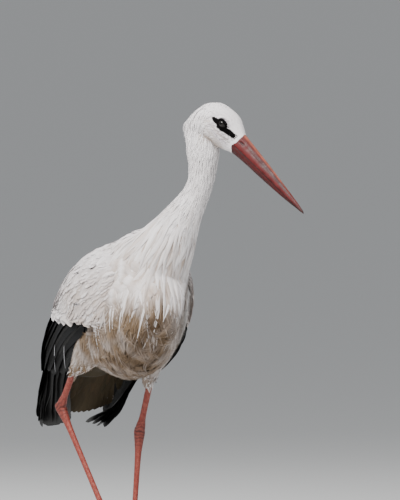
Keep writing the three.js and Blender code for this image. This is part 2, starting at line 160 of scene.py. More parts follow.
# the way along a form: the curve a little further on, less the curve a little before, made one long
def wayAlong(shape, t, near=0.01):
    ahead = through(shape["knots"], np.minimum(t + near, 1))[..., :3]
    return unit(ahead - through(shape["knots"], np.maximum(t - near, 0))[..., :3])


# a point of a form: the middle of its ring, plus the oval's two sizes along left and back of the ring; the ends
# close in as a quarter circle, sqrt(1 - (1 - t / start)^2)
def onForm(shape, t, angle, grow=0.0):
    t, angle = np.broadcast_arrays(np.asarray(t, float), np.asarray(angle, float))
    values = through(shape["knots"], t)
    along = wayAlong(shape, t)
    turn = np.radians(shape["yaw"](t)) if shape["yaw"] else np.zeros_like(t)
    across = np.stack([np.cos(turn), np.sin(turn), np.zeros_like(t)], -1)
    back = unit(np.cross(along, across))
    left = np.cross(back, along)
    start, end = shape["rounded"]
    share = np.sqrt(1 - (1 - np.minimum(t / start, 1)) ** 2)
    share = share * np.sqrt(1 - (1 - np.minimum((1 - t) / end, 1)) ** 2)
    sizes = [np.maximum(values[..., k] * share + grow, 0.3 * share) for k in (3, 4, 5)]
    x, y = oval(angle, *sizes, *shape["powers"])
    return values[..., :3] + left * x[..., None] + back * y[..., None]


trunk = form([
    [-198, 4, 344, 26, 14, 18], [-150, 3, 362, 54, 46, 48], [-90, 1, 379, 74, 83, 80], [-20, -1, 392, 80, 100, 100],
    [50, -1, 401, 79, 107, 108], [105, 2, 413, 70, 101, 102], [145, 7, 430, 55, 86, 80], [174, 11, 446, 36, 60, 52],
], powers=(2.4, 1.7), rounded=(0.1, 0.1))

neck = form([
    [72, 1, 418, 70, 95, 70], [112, 9, 466, 60, 70, 62], [141, 27, 505, 44, 28, 50], [160, 43.5, 541, 30, 20, 38],
    [174, 56, 566, 22.5, 20, 29], [182, 64.5, 589, 20, 19, 25], [186, 67.5, 611, 21.5, 20.5, 25],
    [187, 68.5, 634, 24.5, 24, 26.5], [187, 70, 658, 25.5, 29, 25.5], [190, 72, 686, 24, 32, 24],
], yaw=lambda t: headYaw * smooth(t, 0.3, 1), rounded=(0.02, 0.09))

headRings = np.array([
    [84, -38, 12, 6, 12], [77, -27, 20.5, 9, 24], [68, -15, 26, 19, 30], [55, -4, 27.5, 28.5, 33], [40, 0, 27, 30.5, 30],
    [25, 0, 24, 31, 27], [12, 0, 19, 26.5, 23.5], [2, 0, 15, 21.5, 19.5], [-5, 0, 13, 17.5, 17.5],
], float)
headMiddles = inHead(np.stack([-headRings[:, 0], 0 * headRings[:, 0], headRings[:, 1]], -1))
head = form(np.hstack([headMiddles, headRings[:, 2:]]), yaw=lambda t: headYaw + 0 * t, rounded=(0.1, 0.04),
            inFrame=True)

thighs = {
    1: form([[72, 33, 402, 32, 58, 52], [50, 34, 355, 26, 46, 44], [33, 32, 323, 18, 27, 29],
             [23, 30, 300, 12, 15, 17], [16, 28.5, 282, 7.4, 8.4, 8.6]], rounded=(0.1, 0.06)),
    -1: form([[60, -42, 396, 30, 50, 50], [26, -48, 360, 27, 42, 42], [-6, -57, 332, 20, 28, 30],
              [-28, -65, 314, 13.5, 16, 17], [-44, -68.5, 301, 7.4, 8.2, 8.4]], rounded=(0.1, 0.06)),
}

barrelKnots = np.array([
    [140, 5, 428, 61, 74, 78], [75, 2, 408, 83, 99, 98], [10, 0, 397, 90, 105, 112], [-55, 0, 386, 91, 102, 112],
    [-120, 1, 364, 88, 94, 102], [-185, 3, 330, 86, 79, 88], [-250, 8, 291, 78, 60, 70], [-320, 14, 250, 71, 42, 36],
    [-395, 19, 209, 60, 24, 18],
], float)
barrelTable = through(barrelKnots, np.linspace(0, 1, 400))[::-1]
barrelPower = 2.2  # 2 would be an ellipse


# the barrel's ring at a place along it: left, height, half width, above and below
def barrelRing(forward):
    return [np.interp(forward, barrelTable[:, 0], barrelTable[:, k]) for k in range(1, 6)]


# a point of the barrel that the wings lie on: forward, degrees down from the middle of the back, side, and how deep
def onBarrel(forward, degrees, side, inset=0.0):
    forward, degrees, inset = np.broadcast_arrays(*[np.asarray(v, float) for v in (forward, degrees, inset)])
    left, height, *sizes = barrelRing(forward)
    sizes = [np.maximum(size - inset, 1) for size in sizes]
    x, y = oval(np.radians(90 - degrees), *sizes, barrelPower, barrelPower)
    return placeAt(np.stack([forward, left + side * x, height + y], -1))


# away from the barrel: the step down round it times the step along it
def outOfBarrel(forward, degrees, side):
    down = onBarrel(forward, degrees + 2, side) - onBarrel(forward, degrees - 2, side)
    along = onBarrel(forward + 4, degrees, side) - onBarrel(forward - 4, degrees, side)
    return unit(np.cross(down, along)) * side


tailKnots = np.array([
    [-150, 3, 345, 34, 34], [-185, 4, 326, 40, 34], [-225, 6, 301, 43, 24], [-265, 8, 275, 45, 14],
    [-305, 10, 250, 46, 8], [-345, 12, 226, 44, 4],
], float)


# a point of the tail's fan: the middle line, spread by share across, its sides drawn forward and up
def onTail(u, v):
    k = through(tailKnots, u)
    forward, left, high = k[..., 0] + 30 * v * v * u, k[..., 1] + k[..., 3] * v, k[..., 2] - 5 * v * v + 17 * v * v * u
    return placeAt(np.stack([forward, left, high], -1))


# numbers or colours stored on a mesh, one for each vertex
def putAttributes(mesh, attributes):
    for key, values in attributes.items():
        values = np.asarray(values, np.float32)
        kind, slot = ("FLOAT", "value") if values.ndim == 1 else ("FLOAT_COLOR", "color")
        if values.ndim == 2:
            values = np.hstack([values, np.ones((len(values), 1), np.float32)])
        mesh.attributes.new(key, kind, "POINT").data.foreach_set(slot, values.ravel())


# a mesh from arrays: places in millimetres, faces as rows of vertex numbers, uv as one place for each vertex
def meshFrom(name, points, faces, attributes=None, uv=None, sharp=None):
    faces = np.asarray(faces, np.int32)
    sides = faces.shape[1]
    mesh = bpy.data.meshes.new(name)
    mesh.vertices.add(len(points))
    mesh.vertices.foreach_set("co", (np.asarray(points, np.float32) / 1000).ravel())
    mesh.loops.add(faces.size)
    mesh.loops.foreach_set("vertex_index", faces.ravel())
    mesh.polygons.add(len(faces))
    mesh.polygons.foreach_set("loop_start", np.arange(0, faces.size, sides, dtype=np.int32))
    mesh.polygons.foreach_set("use_smooth", np.ones(len(faces), bool))
    putAttributes(mesh, attributes or {})
    if uv is not None:
        layer = mesh.uv_layers.new(name="OFBake")
        layer.uv.foreach_set("vector", np.asarray(uv, np.float32)[faces.ravel()].ravel())
    mesh.update(calc_edges=True)
    if sharp is not None:
        mesh.set_sharp_from_angle(angle=math.radians(sharp))
    return mesh


# anything with a name, linked to the scene
def addObject(name, data, material=None):
    made = bpy.data.objects.new(name, data)
    bpy.context.scene.collection.objects.link(made)
    if material is not None:
        data.materials.append(material)
    return made


# a finished piece: it rides the one body, wears a finish, and stands for the solids named last
def finished(name, mesh, material, slot, *solids):
    piece = addObject(name, mesh, material)
    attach(piece, "root")
    if solids:
        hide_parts(*solids)
    return piece


# four-sided faces between the points of a grid, which may close up again across its rows or its columns
def gridQuads(rows, columns, roundRows=False, roundColumns=False):
    r, s = np.meshgrid(np.arange(rows - (not roundRows)), np.arange(columns - (not roundColumns)), indexing="ij")
    below, beside = (r + 1) % rows * columns, (s + 1) % columns
    return np.stack([r * columns + s, r * columns + beside, below + beside, below + s], -1).reshape(-1, 4)


# two triangles from each four-sided face
def halved(quads):
    return np.vstack([quads[:, [0, 1, 2]], quads[:, [0, 2, 3]]])


# faces turned round where the volume that they close, the sum of a . (b x c), comes out negative
def facingOut(points, faces):
    a, b, c = np.moveaxis(points[faces] - points.mean(0), 1, 0)
    return faces[:, ::-1] if np.einsum("ij,ij->i", a, np.cross(b, c)).sum() < 0 else faces


# a closed tube: rows of points, the first and the last row each gathered to the middle point of it
def closedTube(grid):
    rows, sides = grid.shape[:2]
    points = np.vstack([grid.reshape(-1, 3), grid[0].mean(0), grid[-1].mean(0)])
    k, first = np.arange(sides), (rows - 1) * sides
    n = (k + 1) % sides
    start = np.stack([n, k, np.full(sides, rows * sides)], -1)
    end = np.stack([first + k, first + n, np.full(sides, rows * sides + 1)], -1)
    return points, facingOut(points, np.vstack([halved(gridQuads(rows, sides, False, True)), start, end]))


# a shell between two sheets on the same grid, closed round their rim
def closedShell(outer, inner):
    rows, columns = outer.shape[:2]
    count = rows * columns
    quads = gridQuads(rows, columns)
    right, left = np.arange(1, rows) * columns + columns - 1, np.arange(rows - 2, 0, -1) * columns
    rim = np.concatenate([np.arange(columns), right, (rows - 1) * columns + np.arange(columns - 2, -1, -1), left])
    after = np.roll(rim, -1)
    walls = np.stack([after, rim, rim + count, after + count], -1)
    points = np.vstack([outer.reshape(-1, 3), inner.reshape(-1, 3)])
    return points, facingOut(points, halved(np.vstack([quads, quads[:, ::-1] + count, walls])))


# a form as a closed tube, its rings set closer together towards both ends by a cosine
def loftMesh(shape, rows, sides, grow=0.0, low=0.0, high=1.0):
    t = mix(low, high, (1 - np.cos(np.linspace(0.03, np.pi - 0.03, rows))) / 2)
    angle = np.linspace(0, 2 * np.pi, sides, endpoint=False)
    return closedTube(onForm(shape, t[:, None], angle[None, :], grow))


# several sets of points and faces as one
def joined(parts):
    points, faces, first = [], [], 0
    for p, f in parts:
        points.append(p)
        faces.append(f + first)
        first += len(p)
    return np.vstack(points), np.vstack(faces)


# remesh by voxels and smooth, both as modifiers that are then applied
def remeshed(name, parts, voxel, rounds, factor=0.5):
    points, faces = joined(parts)
    rough = addObject(name + "_rough", meshFrom(name, points, faces))
    remesh = rough.modifiers.new("voxels", "REMESH")
    remesh.mode, remesh.voxel_size = "VOXEL", voxel / 1000
    if rounds:
        relax = rough.modifiers.new("relax", "SMOOTH")
        relax.factor, relax.iterations = factor, rounds
    return applied(rough)


# the mesh that an object's modifiers give, without the object
def applied(rough):
    graph = bpy.context.evaluated_depsgraph_get()
    graph.update()
    mesh = bpy.data.meshes.new_from_object(rough.evaluated_get(graph))
    old = rough.data
    bpy.data.objects.remove(rough)
    bpy.data.meshes.remove(old)
    return mesh


# a mesh's places in millimetres
def pointsOf(mesh):
    co = np.zeros(len(mesh.vertices) * 3, np.float32)
    mesh.vertices.foreach_get("co", co)
    return co.reshape(-1, 3).astype(float) * 1000


# new places for a mesh's vertices
def setPoints(mesh, points):
    mesh.vertices.foreach_set("co", (points / 1000).astype(np.float32).ravel())
    mesh.update()


# Bare legs and feet. A ring is its share of the way between two joints, half width, above and below. A toe is its
# turn in degrees, length and half width; its droop is the slope at the foot and at the claw.
legShape = {
    "coatInside": 4.0,  # how far the thigh's skin lies inside its feathers
    "voxel": 1.165,
    "folds": 0.75,  # depth of the wrinkles about the ankle
    "shin": [[0.62, 5, 5.4, 5.4], [0.72, 4.8, 5.2, 5.2], [0.81, 4.6, 5.2, 5.2], [0.9, 5, 6, 5.6],
             [0.955, 7.0, 8.8, 7.4], [1.01, 7.4, 9.0, 7.8]],
    "tarsus": [[-0.035, 7.4, 8.8, 7.8], [0.01, 8.3, 10.4, 9.3], [0.075, 6.6, 8.3, 7.1], [0.17, 4.8, 5.6, 5.4],
               [0.35, 4.1, 5.0, 4.8], [0.6, 4.0, 4.9, 4.7], [0.84, 4.4, 5.1, 4.9], [0.97, 6.8, 6.5, 6.2],
               [1.04, 6.2, 5.5, 5.5]],
    "webReach": 19.0,
    "toes": {"inner": [-24, 60, 4.6], "middle": [0, 80, 5.0], "outer": [31, 66, 4.6], "hind": [196, 24, 3.9]},
    "droop": {1: {"inner": [2.8, 1.4], "middle": [2.2, 0.9], "outer": [2.6, 1.2], "hind": [11, 3]},
              -1: {"inner": [44, 66], "middle": [50, 71], "outer": [44, 66], "hind": [66, 52]}},
}
sideName = {1: "left", -1: "right"}
legs = ((1, leftKnee, leftAnkle, leftFoot), (-1, rightKnee, rightAnkle, rightFoot))


# rings strung on the straight line between two joints
def limb(a, b, rings):
    rings = np.asarray(rings, float)
    a, b = placeAt(a), placeAt(b)
    return form(np.hstack([a + (b - a) * rings[:, :1], rings[:, 1:]]), rounded=(0.03, 0.04), inFrame=True)


# a toe: seven even steps from the foot, each sloping a little less or more, thinner towards the claw, and swelling
# at its pads as a cosine
def toeForm(foot, side, name):
    turn, length, half = legShape["toes"][name]
    share = np.linspace(0, 1, 7)
    heading = math.radians(turn * side)
    slope = np.radians(mix(*legShape["droop"][side][name], share))
    level = np.cos(slope)
    step = np.stack([math.cos(heading) * level, math.sin(heading) * level, -np.sin(slope)], -1) * length / 6
    places = np.array(foot) + np.vstack([np.zeros(3), np.cumsum(step, 0)[:-1]])
    size = half * mix(1.15, 0.74, share) * (1 + 0.09 * np.cos(share * np.pi * 6))
    return form(np.column_stack([places, size, size * 0.95, size * 0.95]), rounded=(0.05, 0.07))


# a limb with wrinkles: the loft drawn in by thin folds, deepest in front of and behind the joint
def wrinkled(shape, rows, sides, low, high, depth, waves):
    t = np.linspace(0.004, 0.996, rows)
    angle = np.linspace(0, 2 * np.pi, sides, endpoint=False)
    grid = onForm(shape, t[:, None], angle[None, :])
    where = smooth(t, low[0], low[1]) * (1 - smooth(t, high[0], high[1]))
    bend = np.sin(t[:, None] * waves + 1.3 * np.sin(angle[None, :] * 2) + 0.8 * np.cos(angle[None, :] * 3 + 2))
    folds = depth * where[:, None] * (0.5 - 0.5 * np.abs(bend) ** 0.6) * (1.3 - np.cos(angle[None, :] * 2)) / 1.6
    inward = unit(grid.mean(1, keepdims=True) - grid)
    return closedTube(grid + inward * folds[..., None])


# the short web between the front toes: a flat fan from the foot, its rim drawn in between the toes
def webSkin(foot, side):
    toes, thin = legShape["toes"], 1.3
    turns = np.radians(np.linspace(toes["inner"][0], toes["outer"][0], 25)) * side
    slope = math.radians(legShape["droop"][side]["middle"][0])
    reach = legShape["webReach"] - 5 * np.sin(np.linspace(0, 2 * np.pi, 25)) ** 2
    out = np.linspace(0, 1, 8)[:, None] * reach
    level = out * math.cos(slope)
    top = np.array(foot) + np.stack([level * np.cos(turns), level * np.sin(turns), -out * math.sin(slope) - 1.2], -1)
    return closedShell(placeAt(top + [0, 0, thin]), placeAt(top - [0, 0, thin]))


# both bare legs: shin, tarsus, toes and webs, melted into one skin
def makeLegSkin():
    parts, depth = [], legShape["folds"]
    for side, knee, ankle, foot in legs:
        shin, tarsus = limb(knee, ankle, legShape["shin"]), limb(ankle, foot, legShape["tarsus"])
        parts.append(wrinkled(shin, 90, 40, (0.55, 0.75), (1.1, 1.2), depth * 1.6, 95))
        parts.append(wrinkled(tarsus, 200, 40, (-0.2, -0.1), (0.12, 0.26), depth * 1.8, 210))
        for name in legShape["toes"]:
            parts.append(loftMesh(toeForm(foot, side, name), 60, 24))
        parts.append(webSkin(foot, side))
    return remeshed("leg_skin", parts, legShape["voxel"], 1, 0.35)


# one skin over flesh, wings and legs
bodyShape = {
    "trunkDepth": 6.0,  # how far the skin lies inside the outer feathers
    "neckDepth": 3.4,
    "headDepth": 1.3,
    "wingDepth": 5.5,
    "voxel": 3.1,
    "headVoxel": 0.95,
    "eyeBall": 7.2,
    "eyePlace": [-29.5, 18.0, 13.6],
    "lidReach": [6.3, 5.2],  # half length and half height of the opening between the lids
    "lidThickness": 0.95,
}

# the wing's coverts on the barrel: forward, upper edge and lower edge in degrees
covertEdge = np.array([
    [128, 58, 108], [100, 36, 110], [55, 20, 105], [0, 12, 99], [-50, 9, 95], [-100, 8, 88], [-140, 12, 74],
    [-168, 24, 56],
], float)
barrelInset = 8.0  # how far the wings' rim lies inside the barrel


# how far the coverts bulge above their rim: 7 sqrt(1 - v^2), less at the shoulder and at the rear end
def covertBulge(u, v):
    return 7 * np.sqrt(np.maximum(1 - v * v, 0.1)) * np.minimum(1, np.minimum(6 * u + 0.4, 4 * (1 - u) + 0.25))


# the wing's arm under its coverts: a shell on the barrel, thick enough to sink into the trunk
def wingFlesh(side):
    u, v = np.meshgrid(np.linspace(0.02, 0.98, 40), np.linspace(-0.94, 0.94, 30), indexing="ij")
    edge = through(covertEdge, u)
    degrees = mix(edge[..., 1], edge[..., 2], (v + 1) / 2)
    rise = covertBulge(u, v)
    outer = onBarrel(edge[..., 0], degrees, side, barrelInset - rise + bodyShape["wingDepth"])
    return closedShell(outer, onBarrel(edge[..., 0], degrees, side, barrelInset + rise * 0.6 + 9))


# the eyelids: a ring about the eye's opening that lies on the ball, thicker above, drawn to a corner in front and
# behind; its section is an oval, the opening (a cos, u sin)
def lidRing(side):
    reachA, reachU = bodyShape["lidReach"]
    ball = bodyShape["eyeBall"]
    place = np.array(bodyShape["eyePlace"])
    phi = np.linspace(0, 2 * np.pi, 72, endpoint=False)
    theta = np.linspace(0, 2 * np.pi, 14, endpoint=False)
    corner = np.abs(np.cos(phi)) ** 6
    a = (reachA + 1.1 * corner) * np.cos(phi)
    u = (reachU - 0.5 * corner) * np.sin(phi)
    away = np.sqrt(a * a + u * u)
    out = np.sqrt(np.maximum((ball + 0.1) ** 2 - away ** 2, 4.0))
    middle = np.stack([place[0] + a, side * (place[1] + out), place[2] + u], -1)
    thick = bodyShape["lidThickness"] * (1 + 0.35 * np.maximum(np.sin(phi), 0))
    radial = np.stack([np.cos(phi), 0 * phi, np.sin(phi)], -1)
    section = np.cos(theta)[None, :, None] * radial[:, None] * 1.5 + np.sin(theta)[None, :, None] * [0, side, 0.0]
    points = inHead(middle[:, None] + thick[:, None, None] * section)
    faces = halved(gridQuads(*points.shape[:2], True, True))
    points = points.reshape(-1, 3)
    return points, facingOut(points, faces)


# an oval mound in the head's own axes: centre + sizes (sin lat cos lon, sin lat sin lon, cos lat)
def mound(centre, sizes, rows=28, sides=36):
    lat = np.linspace(0.05, np.pi - 0.05, rows)[:, None]
    lon = np.linspace(0, 2 * np.pi, sides, endpoint=False)[None, :]
    ball = np.stack([np.sin(lat) * np.cos(lon), np.sin(lat) * np.sin(lon), np.cos(lat) + 0 * lon], -1)
    return closedTube(inHead(np.array(centre) + ball * np.array(sizes)))


# the head's skin: skull and top of the neck, mounds about the eyes and the bare lores, and the lids
def makeHeadSkin():
    parts = [loftMesh(head, 90, 90, -bodyShape["headDepth"]),
             loftMesh(neck, 60, 60, -bodyShape["neckDepth"] + 0.2, 0.74, 1.0)]
    eye = bodyShape["eyePlace"]
    for side in (1, -1):
        parts.append(mound([eye[0] + 0.5, side * 13.4, eye[2] - 0.2], [12.5, 8.0, 9.6]))
        parts.append(mound([eye[0] + 14, side * 11.6, eye[2] - 4.2], [13, 5.4, 5.2]))  # in front of the eye
        parts.append(lidRing(side))
    return remeshed("head_skin", parts, bodyShape["headVoxel"], 2, 0.4)


# the skin of neck, trunk, thighs, wing arms and the tail's stump, each inside its solid by the coat's depth
def makeBodySkin():
    parts = [
        loftMesh(trunk, 70, 70, -bodyShape["trunkDepth"]),
        loftMesh(neck, 90, 50, -bodyShape["neckDepth"]),
        loftMesh(head, 50, 50, -bodyShape["headDepth"] - 1.2),
    ]
    for side in (1, -1):
        parts.append(loftMesh(thighs[side], 50, 40, -legShape["coatInside"] + 0.8))
        parts.append(wingFlesh(side))
    stump = form([[-120, 2, 362, 44, 36, 40], [-160, 3, 338, 34, 24, 30], [-200, 5, 314, 30, 15, 18],
                  [-240, 7, 290, 27, 8, 8]])
    parts.append(loftMesh(stump, 40, 40))
    return remeshed("body_skin", parts, bodyShape["voxel"], 10, 0.5)


# the union of closed meshes, made with a modifier that is then applied
def unionOf(name, meshes):
    pieces = [addObject(name + "_%d" % k, mesh) for k, mesh in enumerate(meshes)]
    for other in pieces[1:]:
        cut = pieces[0].modifiers.new("with_" + other.name, "BOOLEAN")
        cut.operation, cut.solver, cut.object = "UNION", "MANIFOLD", other
    whole = applied(pieces[0])
    for other in pieces[1:]:
        old = other.data
        bpy.data.objects.remove(other)
        bpy.data.meshes.remove(old)
    return whole


skinMesh = unionOf("skin", [makeBodySkin(), makeHeadSkin(), makeLegSkin()])
footing = pointsOf(skinMesh)
footing[:, 2] = np.maximum(footing[:, 2], 0.0)  # nothing under the floor
setPoints(skinMesh, footing)
report("skin has %d faces" % len(skinMesh.polygons))


# screen colours, put on skin and coat alike by the place on the body
colours = {
    "white": (0.93, 0.915, 0.92),
    "shade": (0.80, 0.765, 0.76),
    # a brownish stain, also laid on as painted shade between plumes, on the wing's lower front, in the face's folds and
    # under the chin
    "breast": (0.74, 0.675, 0.63),
    # painted shade on the left wing's surface beyond its front edge
    "wingShade": (0.60, 0.60, 0.59),
    # dirt on the belly, darkened further as painted shade
    "earthAndShade": (0.52, 0.435, 0.345),
    # real mud on the feet and dirt on the belly, and the dark of painted shadow lines, gaps and creases
    "mudAndShade": (0.29, 0.215, 0.13),
    # dirt under the tail, darkened as painted shade
    "vent": (0.20, 0.17, 0.095),
    "black": (0.04, 0.037, 0.04),
    "silver": (0.66, 0.66, 0.68),
    "face": (0.012, 0.01, 0.012),
    "lilac": (0.60, 0.54, 0.585),
    "leg": (0.53, 0.16, 0.115),
    "legPale": (0.62, 0.32, 0.27),
    "ankle": (0.24, 0.03, 0.03),
}


# screen colour to linear light: ((c + 0.055) / 1.055)^2.4, or c / 12.92 in the darks
def linear(colour):
    c = np.asarray(colour, float)
    return np.where(c <= 0.04045, c / 12.92, ((c + 0.055) / 1.055) ** 2.4)


tones = {key: linear(value) for key, value in colours.items()}


# soft patches: a sum of a few sine waves of the place, between -1 and 1
def patches(p, size, seed=0.0):
    x, y, z = [p[..., k] * (2 * np.pi / size) for k in range(3)]
    wave = np.sin(x + 1.7 * np.sin(y * 0.7 + seed) + seed) + np.sin(y * 1.13 + 1.3 * np.sin(z * 0.8 + 2 * seed) + 1.1)
    return (wave + np.sin(z * 0.91 + 1.9 * np.sin(x * 0.6 + seed) + 3 * seed)) / 3


# colours drawn towards the one named key, by amount
def blendTone(base, key, amount):
    return base + (tones[key] - base) * np.clip(amount, 0, 1)[..., None]


# how far a place lies beyond the folded left wing's front edge, which is a line down the left flank
def leftWingFront(f, l, u):
    beside = f * math.sin(math.radians(15)) + l * math.cos(math.radians(15))
    return beside - np.interp(u, [337, 367, 397, 449], [68.7, 77.6, 82, 95.5])


# plumage: white above, with painted shade on the neck; brownish between the plumes of the breast, a stain with
# painted shade in streaks between them; dirty brown low on the belly and more so on the right than on the left, dirt
# and painted shade darkening it towards its middle and bottom; olive brown under the tail, dirt and painted shade;
# painted shade in the gap beside the right wing and on the left wing beyond its front edge, with a painted shadow line
# along that edge; a dark hollow runs down the middle of the breast, painted shade
def plumage(p):
    f, l, u = np.moveaxis(backFrom(p), -1, 0)
    tone = np.broadcast_to(tones["white"], p.shape).copy()
    neckShade = smooth(u, 480, 560) * smooth(u, 665, 600)
    tone = blendTone(tone, "shade", 0.30 * neckShade * (0.6 + 0.6 * patches(p, 40, 7)))
    right = smooth(l, 48, 8)
    front = smooth(f, -10, 60)
    # the breast's brown stain, laid on in streaks that also paint the shade between the plumes
    plumes = smooth(u, 540, 440) * front * smooth(np.abs(l - 2), 92, 60)
    streaks = 0.80 + 0.8 * patches(p * [1.6, 1.6, 0.45], 34, 1)
    tone = blendTone(tone, "breast", plumes * (0.30 + 0.45 * right) * streaks)
    # dirt low on the belly, its brown darkened further as painted shade
    low = smooth(u, 432, 385) * smooth(np.abs(l), 98, 72)
    tone = blendTone(tone, "earthAndShade", low * (0.36 + 0.60 * right) * (0.9 + 0.5 * patches(p, 46, 2)))
    # dirt and painted shade, darker in the belly's middle and towards its bottom
    middle = np.exp(-((l + 6) / 38.0) ** 2) * smooth(u, 428, 392) * front
    tone = blendTone(tone, "mudAndShade", middle * (0.58 + 0.55 * patches(p, 30, 3)))
    tone = blendTone(tone, "mudAndShade", 0.55 * smooth(u, 350, 290) * (0.5 + 0.7 * patches(p, 26, 4)))
    # under the tail: dirt darkened as painted shade
    tone = blendTone(tone, "vent", smooth(f, -40, -110) * smooth(u, 350, 310) * 0.92)
    # painted shade in the gap between the right wing and the flank
    tone = blendTone(tone, "mudAndShade", 0.62 * smooth(l, -54, -70) * smooth(u, 436, 412) * front)
    # beyond the left wing's front edge: painted shade on the wing's surface, and a painted shadow line along the edge
    edge = leftWingFront(f, l, u)
    flank = smooth(l, 30, 45) * smooth(f, 10, 40) * smooth(u, 462, 440) * smooth(u, 325, 345)
    tone = blendTone(tone, "wingShade", 0.55 * flank * smooth(edge, -1, 3))
    tone = blendTone(tone, "mudAndShade", 0.85 * flank * np.exp(-(edge / 2.6) ** 2))
    # painted shade down the hollow in the middle of the breast
    cleft = np.exp(-((l - 7.6 - (u - 419) * 0.39) / 6.5) ** 2) * smooth(u, 462, 425) * smooth(u, 315, 350) * front
    return blendTone(tone, "mudAndShade", 0.85 * cleft)


# how near a place is to the eye's bare skin and the dark lores: 1 inside, 0 outside
def facePatch(p, spread=0.0):
    a, l, u = np.moveaxis(toHead(p), -1, 0)
    eye = bodyShape["eyePlace"]
    fray = 1 + 0.22 * patches(p, 5.5, 3)
    ball = np.hypot((a - eye[0]) / (9.6 + spread), (u - eye[2]) / (7.4 + spread))
    back = np.hypot((a - eye[0] + 9) / (9.2 + spread), (u - eye[2] + 2.4) / (3.3 + spread))
    t = np.clip((a - eye[0]) / 27.0, 0, 1)
    lores = np.hypot(np.maximum(eye[0] - a, 0), u - mix(eye[2] - 2.5, 9.4, t)) / (mix(6.4, 3.3, t) * fray + spread)
    lores = np.where(a > eye[0] + 27.5 + spread, 9, lores)
    near = np.minimum(np.minimum(ball, back), lores)
    return smooth(near, 1.15, 0.85) * smooth(np.abs(l), 6.0, 9.0)


# how far along the line from a to b each place lies, and how far from that line
def besideLine(p, a, b):
    along = (p - a) @ unit(b - a) / np.linalg.norm(b - a)
    return along, np.linalg.norm(p - a - np.clip(along, 0, 1)[:, None] * (b - a), axis=1)


# the skin's colours: plumage, red legs with paler scales and, about the ankle, the joint's darker red, deepest in bands
# painted as the shade in its wrinkles, and the dark face
def skinColours(mesh):
    p = pointsOf(mesh)
    tone = plumage(p)
    bare = np.zeros(len(p))
    for side, knee, ankle, foot in legs:
        a, b, c = placeAt(knee), placeAt(ankle), placeAt(foot)
        onShin, fromShin = besideLine(p, a, b)
        fromTarsus, fromFoot = besideLine(p, b, c)[1], np.linalg.norm(p - c, axis=1)
        leg = ((onShin > 0.635) & (fromShin < 13)) | (fromTarsus < 14) | (fromFoot < 104)
        bare = np.maximum(bare, leg.astype(float))
        legTone = np.broadcast_to(tones["leg"], p.shape).copy()
        legTone = blendTone(legTone, "legPale", 0.5 + 0.5 * patches(p, 9, 4 + side))
        near = np.exp(-(np.linalg.norm(p - b, axis=1) / 21.0) ** 2)
        # about the ankle: the joint's darker red, laid on in bands as painted shade in its wrinkles
        bands = np.abs(np.sin((p - b) @ unit(c - b) * 0.62 + 1.2 * patches(p, 16, 6))) ** 0.6
        legTone = blendTone(legTone, "legPale", 0.6 * near)
        legTone = blendTone(legTone, "ankle", near * (1.65 - 1.35 * bands))
        legTone = blendTone(legTone, "mudAndShade", 0.3 * smooth(p[:, 2], 60, 0) * (1 + patches(p, 14, 9)))
        tone = np.where(leg[:, None], legTone, tone)
    face = facePatch(p, 0.6) * (bare < 0.5)
    tone = blendTone(tone, "face", face)
    return {"tint": tone, "bare": bare, "face": face}


# a vane's section: the points across it from -1 to 1 on top and back underneath, and the height of each
def crossOf(count):
    top = np.linspace(-1, 1, count)
    lift = 1 - np.abs(top) ** 1.5
    under = top[-2:0:-1]
    if count > 3:
        under = under[::2] if count > 5 else under[len(under) // 2:len(under) // 2 + 1]
    else:
        under = under[:0]
    return np.concatenate([top, under]), np.concatenate([lift, -0.25 * (1 - np.abs(under) ** 1.5)])


# outline of a vane along its length: a quick rise from the root, a fall to the tip that is round or pointed
def outlineOf(t, rise=0.22, fall=0.55, roundness=2.0, tip=0.06, root=0.25):
    up = root + (1 - root) * np.sqrt(1 - (1 - np.minimum(t / rise, 1)) ** 2)
    s = np.clip((t - fall) / (1 - fall), 0, 1)
    return up * np.maximum((1 - s ** roundness) ** (1 / roundness), tip)


